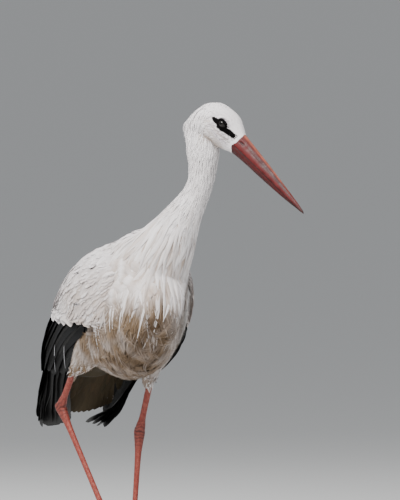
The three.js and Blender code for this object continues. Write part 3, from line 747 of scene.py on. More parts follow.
# vanes: a point is path + side * across * half width + out * (lift + height * thick - camber * across^2). path and
# normal are (n, K, 3), halfWidth, lift and thick (n, K); roll tips a vane about its shaft, tones is how much the
# colour differs from feather to feather, patch is the size of each one's place on the unwrap
def vanes(path, normal, halfWidth, lift, thick, cross=4, camber=0.1, roll=0.0, ragged=0.0, tint=None, unwrap=None,
          patch=0.003, tones=0.12, seed=1):
    n, rows = path.shape[:2]
    across, height = crossOf(cross)
    count = len(across)
    noise = np.random.default_rng(seed)
    tangent = unit(np.gradient(path, axis=1))
    side = unit(np.cross(normal, tangent))
    out = unit(np.cross(tangent, side))
    half = halfWidth[:, :, None] * np.ones(count)
    if ragged:
        half = half * (1 - ragged * (np.abs(across) > 0.6) * noise.random((n, rows, count)) ** 2)
    tilt = np.asarray(roll).reshape(-1, 1, 1) if np.ndim(roll) else roll
    up = lift[:, :, None] + height * thick[:, :, None] - camber * across ** 2 * halfWidth[:, :, None]
    up = up + tilt * across * halfWidth[:, :, None]
    points = path[:, :, None] + side[:, :, None] * (across * half)[..., None] + out[:, :, None] * up[..., None]
    lean = (0.42 * across - tilt) * np.ones((n, rows, count))
    soft = unit(out[:, :, None] + side[:, :, None] * lean[..., None])
    quads = gridQuads(rows, count, False, True)
    k, last = np.arange(1, count - 1), (rows - 1) * count
    ends = [np.stack([0 * k, k, k + 1], -1), np.stack([0 * k + last, last + k + 1, last + k], -1)]
    faces = facingOut(points[0].reshape(-1, 3), np.vstack([quads[:, [0, 2, 1]], quads[:, [0, 3, 2]], *ends]))
    faces = (faces[None] + (np.arange(n) * rows * count)[:, None, None]).reshape(-1, 3)
    t = np.linspace(0, 1, rows)[:, None]
    spot = np.asarray(unwrap)[:, None, None, :] + patch * np.stack(np.broadcast_arrays(across * 0.35, t - 0.5), -1)
    value = noise.random(n)[:, None, None]
    if tint is None:
        tint = plumage(points)
    tint = tint[:, :, None] if tint.ndim == 3 else tint
    tint = np.broadcast_to(tint * (1 + tones * 2 * (value[..., None] - 0.55)), points.shape)
    spread = {"across": across, "along": t, "value": value}
    return {
        "points": points.reshape(-1, 3), "faces": faces, "uv": np.broadcast_to(spot, (n, rows, count, 2)).reshape(-1, 2),
        "tint": tint.reshape(-1, 3), "soft": soft.reshape(-1, 3),
        **{key: np.broadcast_to(number, (n, rows, count)).ravel() for key, number in spread.items()},
    }


# What a coat's feathers share where their own dictionary says nothing. A pair of numbers is a size and what a draw
# adds to it: vary scales the width, stand is the rise off the skin at the tip, stray lets a share stand further.
plainFeather = {
    "vary": [0.7, 0.6], "outline": [0.25, 0.3, 1.3, 0.05, 0.4], "base": -0.4, "power": 0.7, "droop": 0.0,
    "thick": [0.42, 0.7], "cross": 4, "camber": 0.2, "roll": 0.2, "ragged": 0.0, "tones": 0.05,
}


# feathers on their middle lines: half width = width * draw * outline, lift = base + stand * (s^power - droop), and a
# thickness that falls evenly to the tip; paint gives the colours along a line, or else they are the plumage's
def feathers(look, noise, path, normals, width, unwrap, seed, paint=None):
    look = {**plainFeather, **look}
    n, rows = path.shape[:2]
    s = np.linspace(0, 1, rows)
    low, more = look["vary"]
    half = width * (low + more * noise.random((n, 1))) * outlineOf(s, *look["outline"])
    lift = 0 * half
    if "stand" in look:
        high, more = look["stand"]
        if "stray" in look:
            high = high + (noise.random((n, 1)) < look["stray"][0]) * noise.random((n, 1)) * look["stray"][1]
        rise = s ** look["power"] - look["droop"] * smooth(s, 0.6, 1.0)
        lift = look["base"] + (high + more * noise.random((n, 1))) * rise
    thick = look["thick"][0] * (1 - look["thick"][1] * s) * np.ones((n, 1))
    tint = paint(path) if paint else None
    roll = look["roll"] * noise.normal(size=n)
    return vanes(path, normals, half, lift, thick, look["cross"], look["camber"], roll, look["ragged"], tint, unwrap,
                 tones=look["tones"], seed=seed)


# points brought back to the box of the solids, which only a few tips would leave
def insideBox(points):
    return np.clip(points, np.array(cadBox[0]) * 1000, np.array(cadBox[1]) * 1000)


# shading normals of a coat: share of the round form under the feathers, the rest each face's own
def softNormals(points, faces, soft, share):
    corners = points[faces]
    flat = unit(np.cross(corners[:, 1] - corners[:, 0], corners[:, 2] - corners[:, 0]))[:, None]
    toward = soft[faces]
    toward = toward * np.where(np.sum(toward * flat, -1, keepdims=True) < 0, -1.0, 1.0)
    return unit(toward * share + flat * (1 - share)).reshape(-1, 3)


# the flight feathers stand for their own solids, the other coats for none
standFor = {"wing_%s_flight" % name: ["wing_%s_%s" % (name, kind) for kind in ("secondaries", "primaries")]
            for name in sideName.values()}


# a coat piece: its batches of vanes in one mesh
def coatObject(name, batches, material, slot, softness=0.78):
    points, faces = joined([(b["points"], b["faces"]) for b in batches])
    points = insideBox(points)
    uv, soft, *rest = [np.concatenate([b[key] for b in batches])
                       for key in ("uv", "soft", "tint", "across", "along", "value")]
    mesh = meshFrom(name, points, faces, dict(zip(("tint", "across", "along", "value"), rest)), uv)
    mesh.normals_split_custom_set(softNormals(points, faces, soft, softness))
    report("%s: %d triangles" % (name, len(faces)))
    return finished(name, mesh, material, slot, *standFor.get(name, ()))


skinPoints = pointsOf(skinMesh)
skinTree = BVHTree.FromPolygons([Vector(v) for v in skinPoints], [tuple(f.vertices) for f in skinMesh.polygons])
skinNormals = np.zeros(len(skinMesh.vertices) * 3, np.float32)
skinMesh.vertices.foreach_get("normal", skinNormals)
skinNormals = skinNormals.reshape(-1, 3).astype(float)
skinCorner = np.array([f.vertices[0] for f in skinMesh.polygons])


# the nearest places on the skin, with the skin's smooth normals there and how far off they are
def onSkin(points):
    found = [skinTree.find_nearest(p) for p in points]
    place = np.array([f[0] for f in found])
    index = np.array([f[2] for f in found])
    return place, skinNormals[skinCorner[index]], np.array([f[3] for f in found])


# feathers' middle lines: each steps along its heading, drops back to the skin by that step's hug and turns with it;
# pull bends it one way in space, curl bends it to the side
def walk(root, normal, heading, length, hug, pull=None, curl=None):
    steps = len(hug)
    p, n, way = root, normal, unit(heading - normal * np.sum(heading * normal, -1, keepdims=True))
    path, normals = [p], [n]
    for share in hug:
        if pull is not None:
            way = unit(way + pull * (1.0 / steps))
        if curl is not None:
            way = unit(way + np.cross(n, way) * (curl / steps)[:, None])
        q = p + way * (length / steps)[:, None]
        place, m, gap = onSkin(q)
        n = unit(n + m * share)
        p = mix(q, place, share)
        way = unit(way - n * (np.sum(way * n, -1, keepdims=True) * share))
        path.append(p)
        normals.append(n)
    return np.stack(path, 1), np.stack(normals, 1)


# how far along a line of points each of them lies
def lengthAlong(points):
    return np.concatenate([[0], np.cumsum(np.linalg.norm(np.diff(points, axis=0), axis=1))])


# roots on the skin: seeds on a form in staggered rows, evenly spaced along it and round each ring, brought down to
# the skin; those that another form hides, further off than within, are left out
def rootsOn(shape, steps, reach, depth, within, seed, jitter=0.8, turn=(0, 2 * math.pi)):
    noise = np.random.default_rng(seed)
    fine = np.linspace(*reach, 300)
    length = lengthAlong(onForm(shape, fine, np.full(300, np.pi / 2), -depth))
    rows = np.interp(np.arange(0.5 * steps[0], length[-1], steps[0]), length, fine)
    ts, angles = [], []
    ring = np.linspace(*turn, 97)
    for k, t in enumerate(rows):
        arc = lengthAlong(onForm(shape, np.full(97, t), ring, -depth))
        count = max(int(arc[-1] / steps[1]), 3)
        spots = (np.arange(count) + 0.5 * (k % 2) + 0.25 + jitter * (noise.random(count) - 0.5)) / count * arc[-1]
        angles.append(np.interp(np.clip(spots, 0, arc[-1]), arc, ring))
        ts.append(t + jitter * (noise.random(count) - 0.5) * (rows[1] - rows[0]))
    t, angle = np.clip(np.concatenate(ts), 0.002, 0.998), np.concatenate(angles)
    p = onForm(shape, t, angle, -depth)
    root, normal, gap = onSkin(p)
    keep = (gap < within) & (np.sum(normal * unit(p - onForm(shape, t, angle, -depth - 4)), -1) > 0.25)
    return [v[keep] for v in (t, angle, root, normal)]


# charts of the unwrap: each form's own rectangle, as its corner, width and height
charts = {"head": (0, 0.74, 0.5, 0.26), "neck": (0, 0.42, 0.5, 0.3), "trunk": (0, 0, 0.5, 0.4),
          "thigh1": (0.52, 0.8, 0.22, 0.2), "thigh-1": (0.76, 0.8, 0.22, 0.2), "wing1": (0.52, 0.36, 0.22, 0.42),
          "wing-1": (0.76, 0.36, 0.22, 0.42), "tail": (0.52, 0.02, 0.46, 0.3)}


# a place on a chart: corner + size * share, across and up
def chartPlace(name, across, up):
    x, y, w, h = charts[name]
    return np.stack([x + w * np.clip(across, 0, 1), y + h * np.clip(up, 0, 1)], -1)


# a place on a form's chart: its turn across, its length up
def unrolled(name, angle, t):
    return chartPlace(name, angle / (2 * np.pi), t)


# a material with one shader, its numbers set on it
def newMaterial(name, numbers):
    material = bpy.data.materials.new(name)
    material.use_nodes = True
    tree = material.node_tree
    tree.nodes.clear()
    out = tree.nodes.new("ShaderNodeOutputMaterial")
    shader = tree.nodes.new("ShaderNodeBsdfPrincipled")
    tree.links.new(shader.outputs["BSDF"], out.inputs["Surface"])
    for key, value in numbers.items():
        shader.inputs[key].default_value = value
    return material, tree, shader


# a node with its settings, each input either linked or set
def node(tree, kind, values=None, **settings):
    made = tree.nodes.new(kind)
    for key, value in settings.items():
        setattr(made, key, value)
    for key, value in (values or {}).items():
        if isinstance(value, bpy.types.NodeSocket):
            tree.links.new(value, made.inputs[key])
        else:
            made.inputs[key].default_value = value
    return made


# what is stored on the mesh under a name
def stored(tree, name, output="Fac"):
    return node(tree, "ShaderNodeAttribute", attribute_name=name).outputs[output]


# one sum of two values
def math2(tree, operation, a, b=0.0, c=0.0):
    return node(tree, "ShaderNodeMath", {0: a, 1: b, 2: c}, operation=operation).outputs[0]


# a * b * c ...
def product(tree, a, *others):
    for b in others:
        a = math2(tree, "MULTIPLY", a, b)
    return a


# a value between low and high turned smoothly into one between fromValue and toValue
def ramp(tree, value, low, high, fromValue=0.0, toValue=1.0):
    values = {"Value": value, "From Min": low, "From Max": high, "To Min": fromValue, "To Max": toValue}
    return node(tree, "ShaderNodeMapRange", values, interpolation_type="SMOOTHSTEP").outputs["Result"]


# noise over a place that is stretched by three scales
def grainOf(tree, place, scale, detail, **more):
    values = {"Vector": place, "Scale": scale, "Detail": detail, **more}
    return node(tree, "ShaderNodeTexNoise", values).outputs["Fac"]


# a place stretched differently along its three axes
def stretched(tree, place, scales):
    return node(tree, "ShaderNodeMapping", {"Vector": place, "Scale": scales}).outputs[0]


# the surface: the colour times gain, and a fine relief from height, in metres
def surface(tree, shader, colour, gain, height, strength, distance):
    if gain is not None:
        colour = node(tree, "ShaderNodeVectorMath", {0: colour, 3: gain}, operation="SCALE").outputs[0]
    tree.links.new(colour, shader.inputs["Base Color"])
    lift = node(tree, "ShaderNodeBump", {"Height": height, "Strength": strength, "Distance": distance})
    tree.links.new(lift.outputs[0], shader.inputs["Normal"])


# feather: the painted tint, darker and lighter barbs that run out from the shaft towards the tip, a shaft of its own
# tone, and a root and a rim darkened as painted shade where feathers lie under and beside others
def featherMaterial(name, roughness, sheen, barbs, bump, shaft, specular=0.35, rootShade=0.86, rimShade=0.95):
    material, tree, shader = newMaterial(
        name, {"Roughness": roughness, "Sheen Weight": sheen, "Specular IOR Level": specular})
    across, along, value = [stored(tree, key) for key in ("across", "along", "value")]
    away = math2(tree, "ABSOLUTE", across)
    slant = math2(tree, "SUBTRACT", product(tree, along, barbs), product(tree, away, barbs * 0.28))
    spot = {"X": slant, "Y": product(tree, across, 1.3), "Z": product(tree, value, 91.0)}
    grain = grainOf(tree, node(tree, "ShaderNodeCombineXYZ", spot).outputs[0], 1.0, 3.0, Roughness=0.65)
    light = ramp(tree, grain, 0.3, 0.7, 0.86, 1.05)
    line = ramp(tree, away, 0.0, 0.13, shaft, 1.0)
    # painted shade: darker towards the root and along the rim
    root = ramp(tree, along, 0.0, 0.5, rootShade, 1.0)
    rim = ramp(tree, away, 0.55, 1.0, 1.0, rimShade)
    surface(tree, shader, stored(tree, "tint", "Color"), product(tree, light, line, root, rim), grain, bump, 0.0006)
    return material


whiteVane = featherMaterial("white_plumage", 0.78, 0.15, 46.0, 0.25, 0.93, 0.25)
downyVane = featherMaterial("downy_plumage", 0.85, 0.08, 22.0, 0.22, 0.98, 0.2, 0.78)
blackVane = featherMaterial("black_plumage", 0.55, 0.0, 120.0, 0.30, 1.9, 0.10, 1.0, 0.8)


# a number from the coverts' edge or another table of rows that start with forward, at each forward
def alongWing(table, forward, column):
    return np.interp(-forward, -table[:, 0], table[:, column])


# how far a place lies above the wing's lower edge, in degrees round the barrel, where it is near the wing's surface
def underWing(p):
    f, l, u = np.moveaxis(backFrom(p), -1, 0)
    left, height, width, above, below = barrelRing(f)
    x, z = np.abs(l - left) / width, (u - height) / np.where(u > height, above, below)
    degrees = 90 - np.degrees(np.arctan2(np.sign(z) * np.abs(z) ** (barrelPower / 2), x ** (barrelPower / 2)))
    level = (x ** barrelPower + np.abs(z) ** barrelPower) ** (1 / barrelPower)
    return np.where((level > 0.86) & (f < 126) & (f > -170), alongWing(covertEdge, f, 2) - degrees, -99.0)


# the head's coat: fine down, and long feathers that carry its back and sides over into the neck
headCoat = {
    "down": {"steps": [2.25, 1.6], "length": [3.4, 8.5], "width": 0.85, "rise": 1.0},
    "nape": {"length": [17, 27], "width": 1.25, "vary": [0.75, 0.5], "outline": [0.25, 0.3, 1.3, 0.07, 0.45],
             "hug": [1, 0.9, 0.7, 0.5, 0.4, 0.35, 0.3], "base": -0.3, "stand": [1.5, 0.9], "power": 0.8,
             "stray": [0.07, 2.5], "thick": [0.30, 0.6], "cross": 3, "camber": 0.15, "roll": 0.12, "tones": 0.06},
}


# the face's feathers: grey lilac round the dark skin; painted shade as a brown crease behind the eye and one back from
# the gape, in stripes along the cheek's folds and under the chin
def headTone(path, a, u):
    eye = bodyShape["eyePlace"]
    near = smooth(np.hypot(a - eye[0], u - eye[2]), 19, 8) * smooth(a, -62, -22)
    under = smooth(u, 12, 3) * smooth(a, -44, -16) * smooth(u, -14, -5)
    lilac = 0.55 * near + 0.75 * under * (0.6 + 0.7 * patches(path[:, 0], 4.5, 5))
    # painted shade in a crease behind the eye
    crease = np.exp(-((u - eye[2] + 5.4 + 0.14 * (a - eye[0])) / 1.9) ** 2)
    crease = crease * smooth(a, eye[0] - 27, eye[0] - 16) * smooth(a, eye[0] - 3, eye[0] - 12)
    # painted shade in a crease back from the gape
    gape = np.exp(-((u + 2.2 + 0.10 * a) / 2.0) ** 2) * smooth(a, -20, -8)
    # painted shade in stripes along the cheek's folds
    folds = np.sin((u + 0.30 * a) * 0.62 + 0.9 * np.sin(a * 0.11))
    folds = folds * smooth(a, -8, -16) * smooth(a, -64, -48) * smooth(u, 14, 4)
    # painted shade under the chin
    chin = smooth(u, -9, -17) * smooth(a, -4, -12) * smooth(a, -60, -40)
    tone = blendTone(plumage(path), "lilac", lilac[:, None])
    tone = blendTone(tone, "breast", (0.42 * np.maximum(folds, 0) + 0.6 * chin)[:, None])
    return blendTone(tone, "mudAndShade", (0.60 * crease + 1.0 * gape)[:, None])


# down all over the head but its bare face, combed back from the bill and parted round the eye, then the nape
def makeHeadCoat():
    down, nape = headCoat["down"], headCoat["nape"]
    t, angle, root, normal = rootsOn(head, down["steps"], (0.012, 0.99), bodyShape["headDepth"], 2.6, 11, 0.35)
    a, l, u = np.moveaxis(toHead(root), -1, 0)
    edge = mix(-0.5, -6.0, smooth(u, -2, -17)) - 2.2 * np.exp(-((u + 1) / 4.0) ** 2)
    keep = (facePatch(root, 0.0) < 0.4) & (a < edge)
    t, angle, root, normal, a, l, u = [v[keep] for v in (t, angle, root, normal, a, l, u)]
    noise = np.random.default_rng(12)
    n = len(root)
    eye = bodyShape["eyePlace"]
    fromEye = np.hypot(a - eye[0], u - eye[2])
    small = np.minimum(smooth(a, -2, -34), smooth(fromEye, 9, 26))
    length = mix(*down["length"], small) * (0.85 + 0.4 * noise.random(n))
    back = smooth(t, 0.3, 0.02)[:, None]
    heading = -billAlong * (1 - back) + straightDown * (back + 0.12) + 0.14 * noise.normal(size=(n, 3))
    around = np.stack([a - eye[0], l * 0, u - eye[2]], -1) @ headAxes
    heading = heading + unit(around) * (0.5 * smooth(fromEye, 22, 9))[:, None]
    path, normals = walk(root, normal, heading, length, [1, 1, 1, 1])
    s = np.linspace(0, 1, 5)
    half = down["width"] * (0.8 + 0.35 * small[:, None]) * outlineOf(s, 0.3, 0.35, 1.5, 0.1, 0.5)
    lift = -0.25 + (0.4 + down["rise"] * small[:, None]) * s ** 0.8 * (0.7 + 0.6 * noise.random((n, 1)))
    thick = 0.26 * (1 - 0.6 * s) * np.ones((n, 1))
    fine = vanes(path, normals, half, lift, thick, 3, 0.12, 0, 0, headTone(path, a, u), unrolled("head", angle, t),
                 tones=0.05, seed=13)

    pick = noise.random(n) < mix(0.10, 0.62, smooth(t, 0.52, 0.30))
    pick &= (t < 0.66) & (a < -15) & (u < 22)
    t, angle, root, normal, a, u = [v[pick] for v in (t, angle, root, normal, a, u)]
    n = len(root)
    length = mix(*nape["length"], smooth(t, 0.45, 0.1)) * (0.7 + 0.5 * noise.random(n))
    length = length * smooth(t, 0.75, 0.42).clip(0.45, 1) * (1 + 0.35 * smooth(a, -52, -72))
    heading = mix(-billAlong, straightDown, smooth(t, 0.62, 0.25)[:, None]) + 0.13 * noise.normal(size=(n, 3))
    path, normals = walk(root, normal, heading, length, nape["hug"], 0.7 * straightDown)
    long = feathers(nape, noise, path, normals, nape["width"], unrolled("head", angle, t), 14,
                    lambda path: headTone(path, a, u))
    return coatObject("head_feathers", [fine, long], downyVane, "white_plumage", 0.85)


# the neck's coat: fine hair-like feathers above, and long pointed plumes at its foot and over the breast
neckCoat = {
    "hair": {"steps": [3.7, 2.1], "length": [26, 15], "width": 1.25, "vary": [0.75, 0.6],
             "outline": [0.2, 0.3, 1.3, 0.07, 0.5], "hug": [1, 1, 0.95, 0.9, 0.85, 0.8], "stand": [2.2, 1.1],
             "stray": [0.04, 2.2], "thick": [0.30, 0.6], "cross": 3, "roll": 0.15, "tones": 0.07},
    "plume": {"length": [104, 42], "behind": 30, "width": [3.4, 4.6], "vary": [0.7, 0.5],
              "outline": [0.3, 0.35, 1.2, 0.04, 0.35], "hug": [1, 1, 1, 0.95, 0.9, 0.88, 0.85, 0.8, 0.75, 0.7],
              "power": 0.6, "droop": 0.25, "thick": [0.45, 0.7], "roll": 0.12, "ragged": 0.3, "tones": 0.08},
    "layers": [{"steps": [9.5, 6.5], "short": 0.62, "deep": 1.0}, {"steps": [12, 8], "short": 0.85, "deep": 0.55},
               {"steps": [15, 10], "short": 1.0, "deep": 0.12}],
    "lower": {"steps": [11.5, 8.5], "length": [42, 92], "vary": [0.6, 0.5], "stand": [2.6, 1.6], "droop": 0.2},
}


# hair-like feathers down the neck, longer towards its foot
def makeNeckCoat():
    hair = neckCoat["hair"]
    t, angle, root, normal = rootsOn(neck, hair["steps"], (0.34, 0.99), bodyShape["neckDepth"], 3.2, 21)
    noise = np.random.default_rng(22)
    n = len(root)
    length = mix(*hair["length"], smooth(t, 0.45, 0.95)) * (0.75 + 0.5 * noise.random(n))
    heading = -wayAlong(neck, t) + 0.09 * noise.normal(size=(n, 3))
    path, normals = walk(root, normal, heading, length, hair["hug"])
    batch = feathers(hair, noise, path, normals, hair["width"], unrolled("neck", angle, t), 23)
    return coatObject("neck_feathers", [batch], downyVane, "white_plumage", 0.85)


# how pale each feather is: nothing for most, low and up to a half more for a share of them
def somePale(noise, n, share, low):
    return (noise.random((n, 1)) < share) * (low + 0.5 * noise.random((n, 1)))


# plumes from the foot of the neck, in three layers: short behind, long and hanging over the breast in front
def makeRuff():
    plume, batches = neckCoat["plume"], []
    for k, layer in enumerate(neckCoat["layers"]):
        reach = (0.03, 0.58 - 0.04 * k)
        t, angle, root, normal = rootsOn(neck, layer["steps"], reach, bodyShape["neckDepth"], 6.5, 31 + k, 0.9)
        noise = np.random.default_rng(33 + k)
        n = len(root)
        front = smooth(-np.sin(angle), -0.8, 0.15)
        long = mix(*plume["length"], smooth(t, 0.25, 0.58))
        length = mix(plume["behind"], long, front) * layer["short"] * (0.5 + 0.8 * noise.random(n))
        heading = -wayAlong(neck, t) + wayAt([-0.3, 0, -0.5]) * front[:, None]
        heading = heading + (0.08 + 0.03 * k) * noise.normal(size=(n, 3))
        path, normals = walk(root, normal, heading, length, plume["hug"], 0.6 * straightDown * front[:, None],
                             0.25 * noise.normal(size=n))

        def paint(path):
            pale = somePale(noise, n, 0.12 + 0.25 * k, 0.35)
            # painted shade: the lower layers, seen between the upper plumes, take more of the breast's brown
            deep = (layer["deep"] * front * smooth(t, 0.56, 0.40))[:, None] * smooth(path[..., 2], 600, 520)
            return blendTone(blendTone(plumage(path), "breast", deep), "white", pale)

        width = mix(*plume["width"], front)[:, None]
        batches.append(feathers({**plume, "stand": [1.6 + 1.0 * k, 1.3]}, noise, path, normals, width,
                                unrolled("neck", angle, t), 35 + k, paint))
    batches.append(breastPlumes())
    return coatObject("breast_plumes", batches, downyVane, "white_plumage", 0.8)


# more plumes rooted on the breast itself, so that the ends of the upper ones lie over others
def breastPlumes():
    lower = {**neckCoat["plume"], **neckCoat["lower"]}
    t, angle, root, normal = trunkRoots(lower["steps"], 38, (0.62, 0.985), (0.90, 2.10))
    f, l, u = np.moveaxis(backFrom(root), -1, 0)
    t, angle, root, normal = [v[(u > 420) & (f > 55)] for v in (t, angle, root, normal)]
    noise = np.random.default_rng(39)
    n = len(root)
    length = mix(*lower["length"], noise.random(n))
    heading = wayAt([-0.25, 0, -1.0]) + 0.10 * noise.normal(size=(n, 3))
    path, normals = walk(root, normal, heading, length, lower["hug"], 0.5 * straightDown, 0.3 * noise.normal(size=n))
    return feathers(lower, noise, path, normals, lower["width"][1], unrolled("trunk", angle, t), 40,
                    lambda path: blendTone(plumage(path), "white", somePale(noise, n, 0.45, 0.3)))


# The trunk's coat: broad soft feathers that close over the skin, ruffled locks of narrow strands over them, finer
# wisps over those, and the back. A size of two numbers is at the rear and in front.
trunkCoat = {
    "under": {"steps": [10.5, 8.5], "length": [44, 30], "width": 6.4, "vary": [0.8, 0.4],
              "outline": [0.25, 0.5, 1.6, 0.06, 0.35], "hug": [1, 1, 1, 0.95, 0.9, 0.85, 0.8], "base": -0.5,
              "stand": [2.6, 1.6], "power": 0.8, "thick": [0.5, 0.7], "roll": 0.1, "ragged": 0.3, "tones": 0.10},
    "lock": {"steps": [12.5, 10.5], "length": [30, 58], "width": 2.5, "strands": 4},
    "wisp": {"steps": [17, 14], "length": [28, 52], "width": 1.15, "strands": 2},
    "strand": {"outline": [0.25, 0.3, 1.25, 0.05, 0.4], "hug": [1, 1, 1, 0.95, 0.9, 0.8, 0.7, 0.6, 0.5],
               "base": -0.5, "cross": 3},
    "back": {"steps": [11.5, 10.0], "length": [42, 30], "width": 10.5, "vary": [0.85, 0.3],
             "outline": [0.25, 0.5, 2.0, 0.08, 0.3], "hug": [1] * 8, "base": -0.5, "stand": [4.2, 1.2],
             "thick": [0.6, 0.7], "cross": 5, "camber": 0.16, "roll": 0.06, "ragged": 0.12},
}


# roots on the trunk between two turns, given in half circles, but not where the folded wing covers it
def trunkRoots(steps, seed, reach, turn):
    turn = [math.pi * share for share in turn]
    t, angle, root, normal = rootsOn(trunk, steps, reach, bodyShape["trunkDepth"], 6.0, seed, 0.8, turn)
    f, l, u = np.moveaxis(backFrom(root), -1, 0)
    keep = underWing(root) < np.where(f < np.where(l > 0, 74, 50), -13.0, -2.0)
    return [v[keep] for v in (t, angle, root, normal)]


# the feathers that close over the breast and belly, or over the back
def trunkFeathers(look, seeds, reach, turn, way, scatter, lengthAt, vary):
    t, angle, root, normal = trunkRoots(look["steps"], seeds[0], reach, turn)
    noise = np.random.default_rng(seeds[1])
    n = len(root)
    length = mix(*look["length"], smooth(t, *lengthAt)) * (vary[0] + vary[1] * noise.random(n))
    heading = wayAt(way) + scatter * noise.normal(size=(n, 3))
    path, normals = walk(root, normal, heading, length, look["hug"])
    return feathers(look, noise, path, normals, look["width"], unrolled("trunk", angle, t), seeds[2])


def makeBreastCoat():
    batch = trunkFeathers(trunkCoat["under"], (41, 43, 45), (0.02, 0.985), (0.90, 2.10), [-0.8, 0, -1.0], 0.16,
                          (0.4, 0.95), (0.8, 0.4))
    return coatObject("breast_and_belly_feathers", [batch], downyVane, "dusty_plumage")


def makeBackCoat():
    batch = trunkFeathers(trunkCoat["back"], (51, 52, 53), (0.04, 0.97), (-0.10, 1.10), [-1, 0, -0.12], 0.08,
                          (0.3, 0.9), (0.85, 0.3))
    return coatObject("back_feathers", [batch], whiteVane, "white_plumage")


# each lock is a few narrow strands from one place, set apart a little and all bent and turned the same way
def makeLocks():
    batches = []
    for k, lock in enumerate((trunkCoat["lock"], trunkCoat["wisp"])):
        t, angle, root, normal = trunkRoots(lock["steps"], 141 + k, (0.03, 0.975), (0.95, 2.05))
        noise = np.random.default_rng(143 + k)
        n = len(root)
        f, l, u = np.moveaxis(backFrom(root), -1, 0)
        wild = smooth(u, 440, 380) * smooth(f, -90, 0)  # the belly is ruffled, the breast lies smooth
        length = mix(*lock["length"], smooth(u, 330, 440) * smooth(f, 0, 90)) * (0.75 + 0.5 * noise.random(n))
        heading = wayAt([-0.55, 0, -1.0]) + (0.12 + 0.34 * wild)[:, None] * noise.normal(size=(n, 3))
        curl = (0.15 + 0.75 * wild) * noise.normal(size=n)
        shade = noise.normal(size=n)
        t, angle, root, normal, length, heading, curl, shade, wild = [
            np.repeat(v, lock["strands"], axis=0) for v in (t, angle, root, normal, length, heading, curl, shade, wild)]
        n = len(root)
        apart = unit(np.cross(normal, heading)) * (3.4 * noise.normal(size=(n, 1)))
        place, normal, gap = onSkin(root + apart + unit(heading) * (3 * noise.normal(size=(n, 1))))
        heading = heading + 0.11 * noise.normal(size=(n, 3))
        length = length * (0.85 + 0.3 * noise.random(n))
        look = {**trunkCoat["strand"], "stand": [(2.8 + 1.2 * wild + 1.4 * k)[:, None], 1.4]}
        path, normals = walk(place, normal, heading, length, look["hug"], 0.4 * straightDown,
                             curl + 0.15 * noise.normal(size=n))

        def paint(path):
            s = np.linspace(0, 1, path.shape[1])
            white = ((0.10 + 0.03 * k) * np.maximum(shade, 0)).clip(0, 0.5)[:, None] * s
            return blendTone(plumage(path), "white", white) * (1 + 0.09 * shade.clip(-1.6, 1.6))[:, None, None]

        batches.append(feathers(look, noise, path, normals, lock["width"], unrolled("trunk", angle, t), 145 + k, paint))
    return coatObject("belly_locks", batches, downyVane, "dusty_plumage", 0.72)


# the trousers: loose tufts down to the bare shin, paler towards its end
thighCoat = {"steps": [4.8, 4.0], "length": [34, 12], "width": 2.3, "hug": [1, 1, 0.9, 0.7, 0.5, 0.4, 0.3],
             "stand": [2.4, 1.6], "ragged": 0.2, "tones": 0.08}


def makeThighCoat():
    batches = []
    for side in (1, -1):
        t, angle, root, normal = rootsOn(thighs[side], thighCoat["steps"], (0.10, 0.985), legShape["coatInside"], 5.5,
                                         61 + side)
        noise = np.random.default_rng(64 + side)
        n = len(root)
        length = mix(*thighCoat["length"], smooth(t, 0.3, 0.95)) * (0.7 + 0.6 * noise.random(n))
        heading = wayAlong(thighs[side], t, 0.02) + 0.15 * noise.normal(size=(n, 3))
        path, normals = walk(root, normal, heading, length, thighCoat["hug"], None, 0.3 * noise.normal(size=n))

        def paint(path):
            high = path[..., 2]
            # browner towards the top of the thigh, under the belly: dirt with painted shade
            dirtAndShade = (0.15 + 0.35 * noise.random((n, 1))) * smooth(high, 300, 340)
            pale = (noise.random((n, 1)) < 0.45) * smooth(high, 328, 306)
            return blendTone(blendTone(plumage(path), "earthAndShade", dirtAndShade), "white", 0.6 * pale)

        batches.append(feathers(thighCoat, noise, path, normals, thighCoat["width"],
                                unrolled("thigh%d" % side, angle, t), 67 + side, paint))
    return coatObject("thigh_feathers", batches, downyVane, "dusty_plumage")


# The wings' coats: coverts and shoulder feathers in shingled rows, and long pointed spikes along the wing's lower and
# rear edge, whose tips lie over the black. A layer of spikes is how many, and how much shorter.
wingCoat = {
    "rows": 20, "columns": 18,
    "covert": {"length": [27, 48], "width": [8.8, 11.2], "vary": [0.85, 0.3], "outline": [0.2, 0.5, 1.9, 0.07, 0.35],
               "thick": [0.35, 0.7], "cross": 5, "camber": 0.14, "roll": 0.04, "ragged": 0.3},
    "spike": {"length": [66, 30], "width": [5.6, 3.1], "vary": [0.75, 0.5], "outline": [0.2, 0.35, 1.25, 0.05, 0.4],
              "thick": [0.5, 0.7], "cross": 5, "camber": 0.16, "roll": 0.1, "ragged": 0.2},
    "layers": [[64, 1.0], [58, 0.8], [44, 0.62]],
}

# lower and rear edge of the wing's white: forward and degrees
whiteEdge = np.array([
    [112, 108], [84, 104], [60, 99.5], [0, 92.5], [-50, 87.5], [-100, 78], [-140, 63], [-168, 48],
], float)


# how deep under the barrel the coverts' surface lies
def covertTop(forward, degrees):
    u = np.interp(-forward, -covertEdge[:, 0], np.linspace(0, 1, len(covertEdge)))
    top, bottom = [alongWing(covertEdge, forward, k) for k in (1, 2)]
    v = np.clip(2 * (degrees - top) / (bottom - top) - 1, -1.2, 1.2)
    return barrelInset - np.maximum(covertBulge(u, v), 1.0)


# how many degrees round the barrel a length of feather drops when it falls at an angle, the barrel's radius given
def dropOf(length, fall, radius):
    return length * np.sin(fall) / radius * 57.3


# feathers on the barrel: straight from root to tip in forward and degrees, each at its own depth under the barrel
def barrelPath(side, root, tip, steps, depthOf):
    s = np.linspace(0, 1, steps)
    forward, degrees = [mix(root[:, k:k + 1], tip[:, k:k + 1], s) for k in (0, 1)]
    return onBarrel(forward, degrees, side, depthOf(forward, degrees, s)), outOfBarrel(forward, degrees, side)


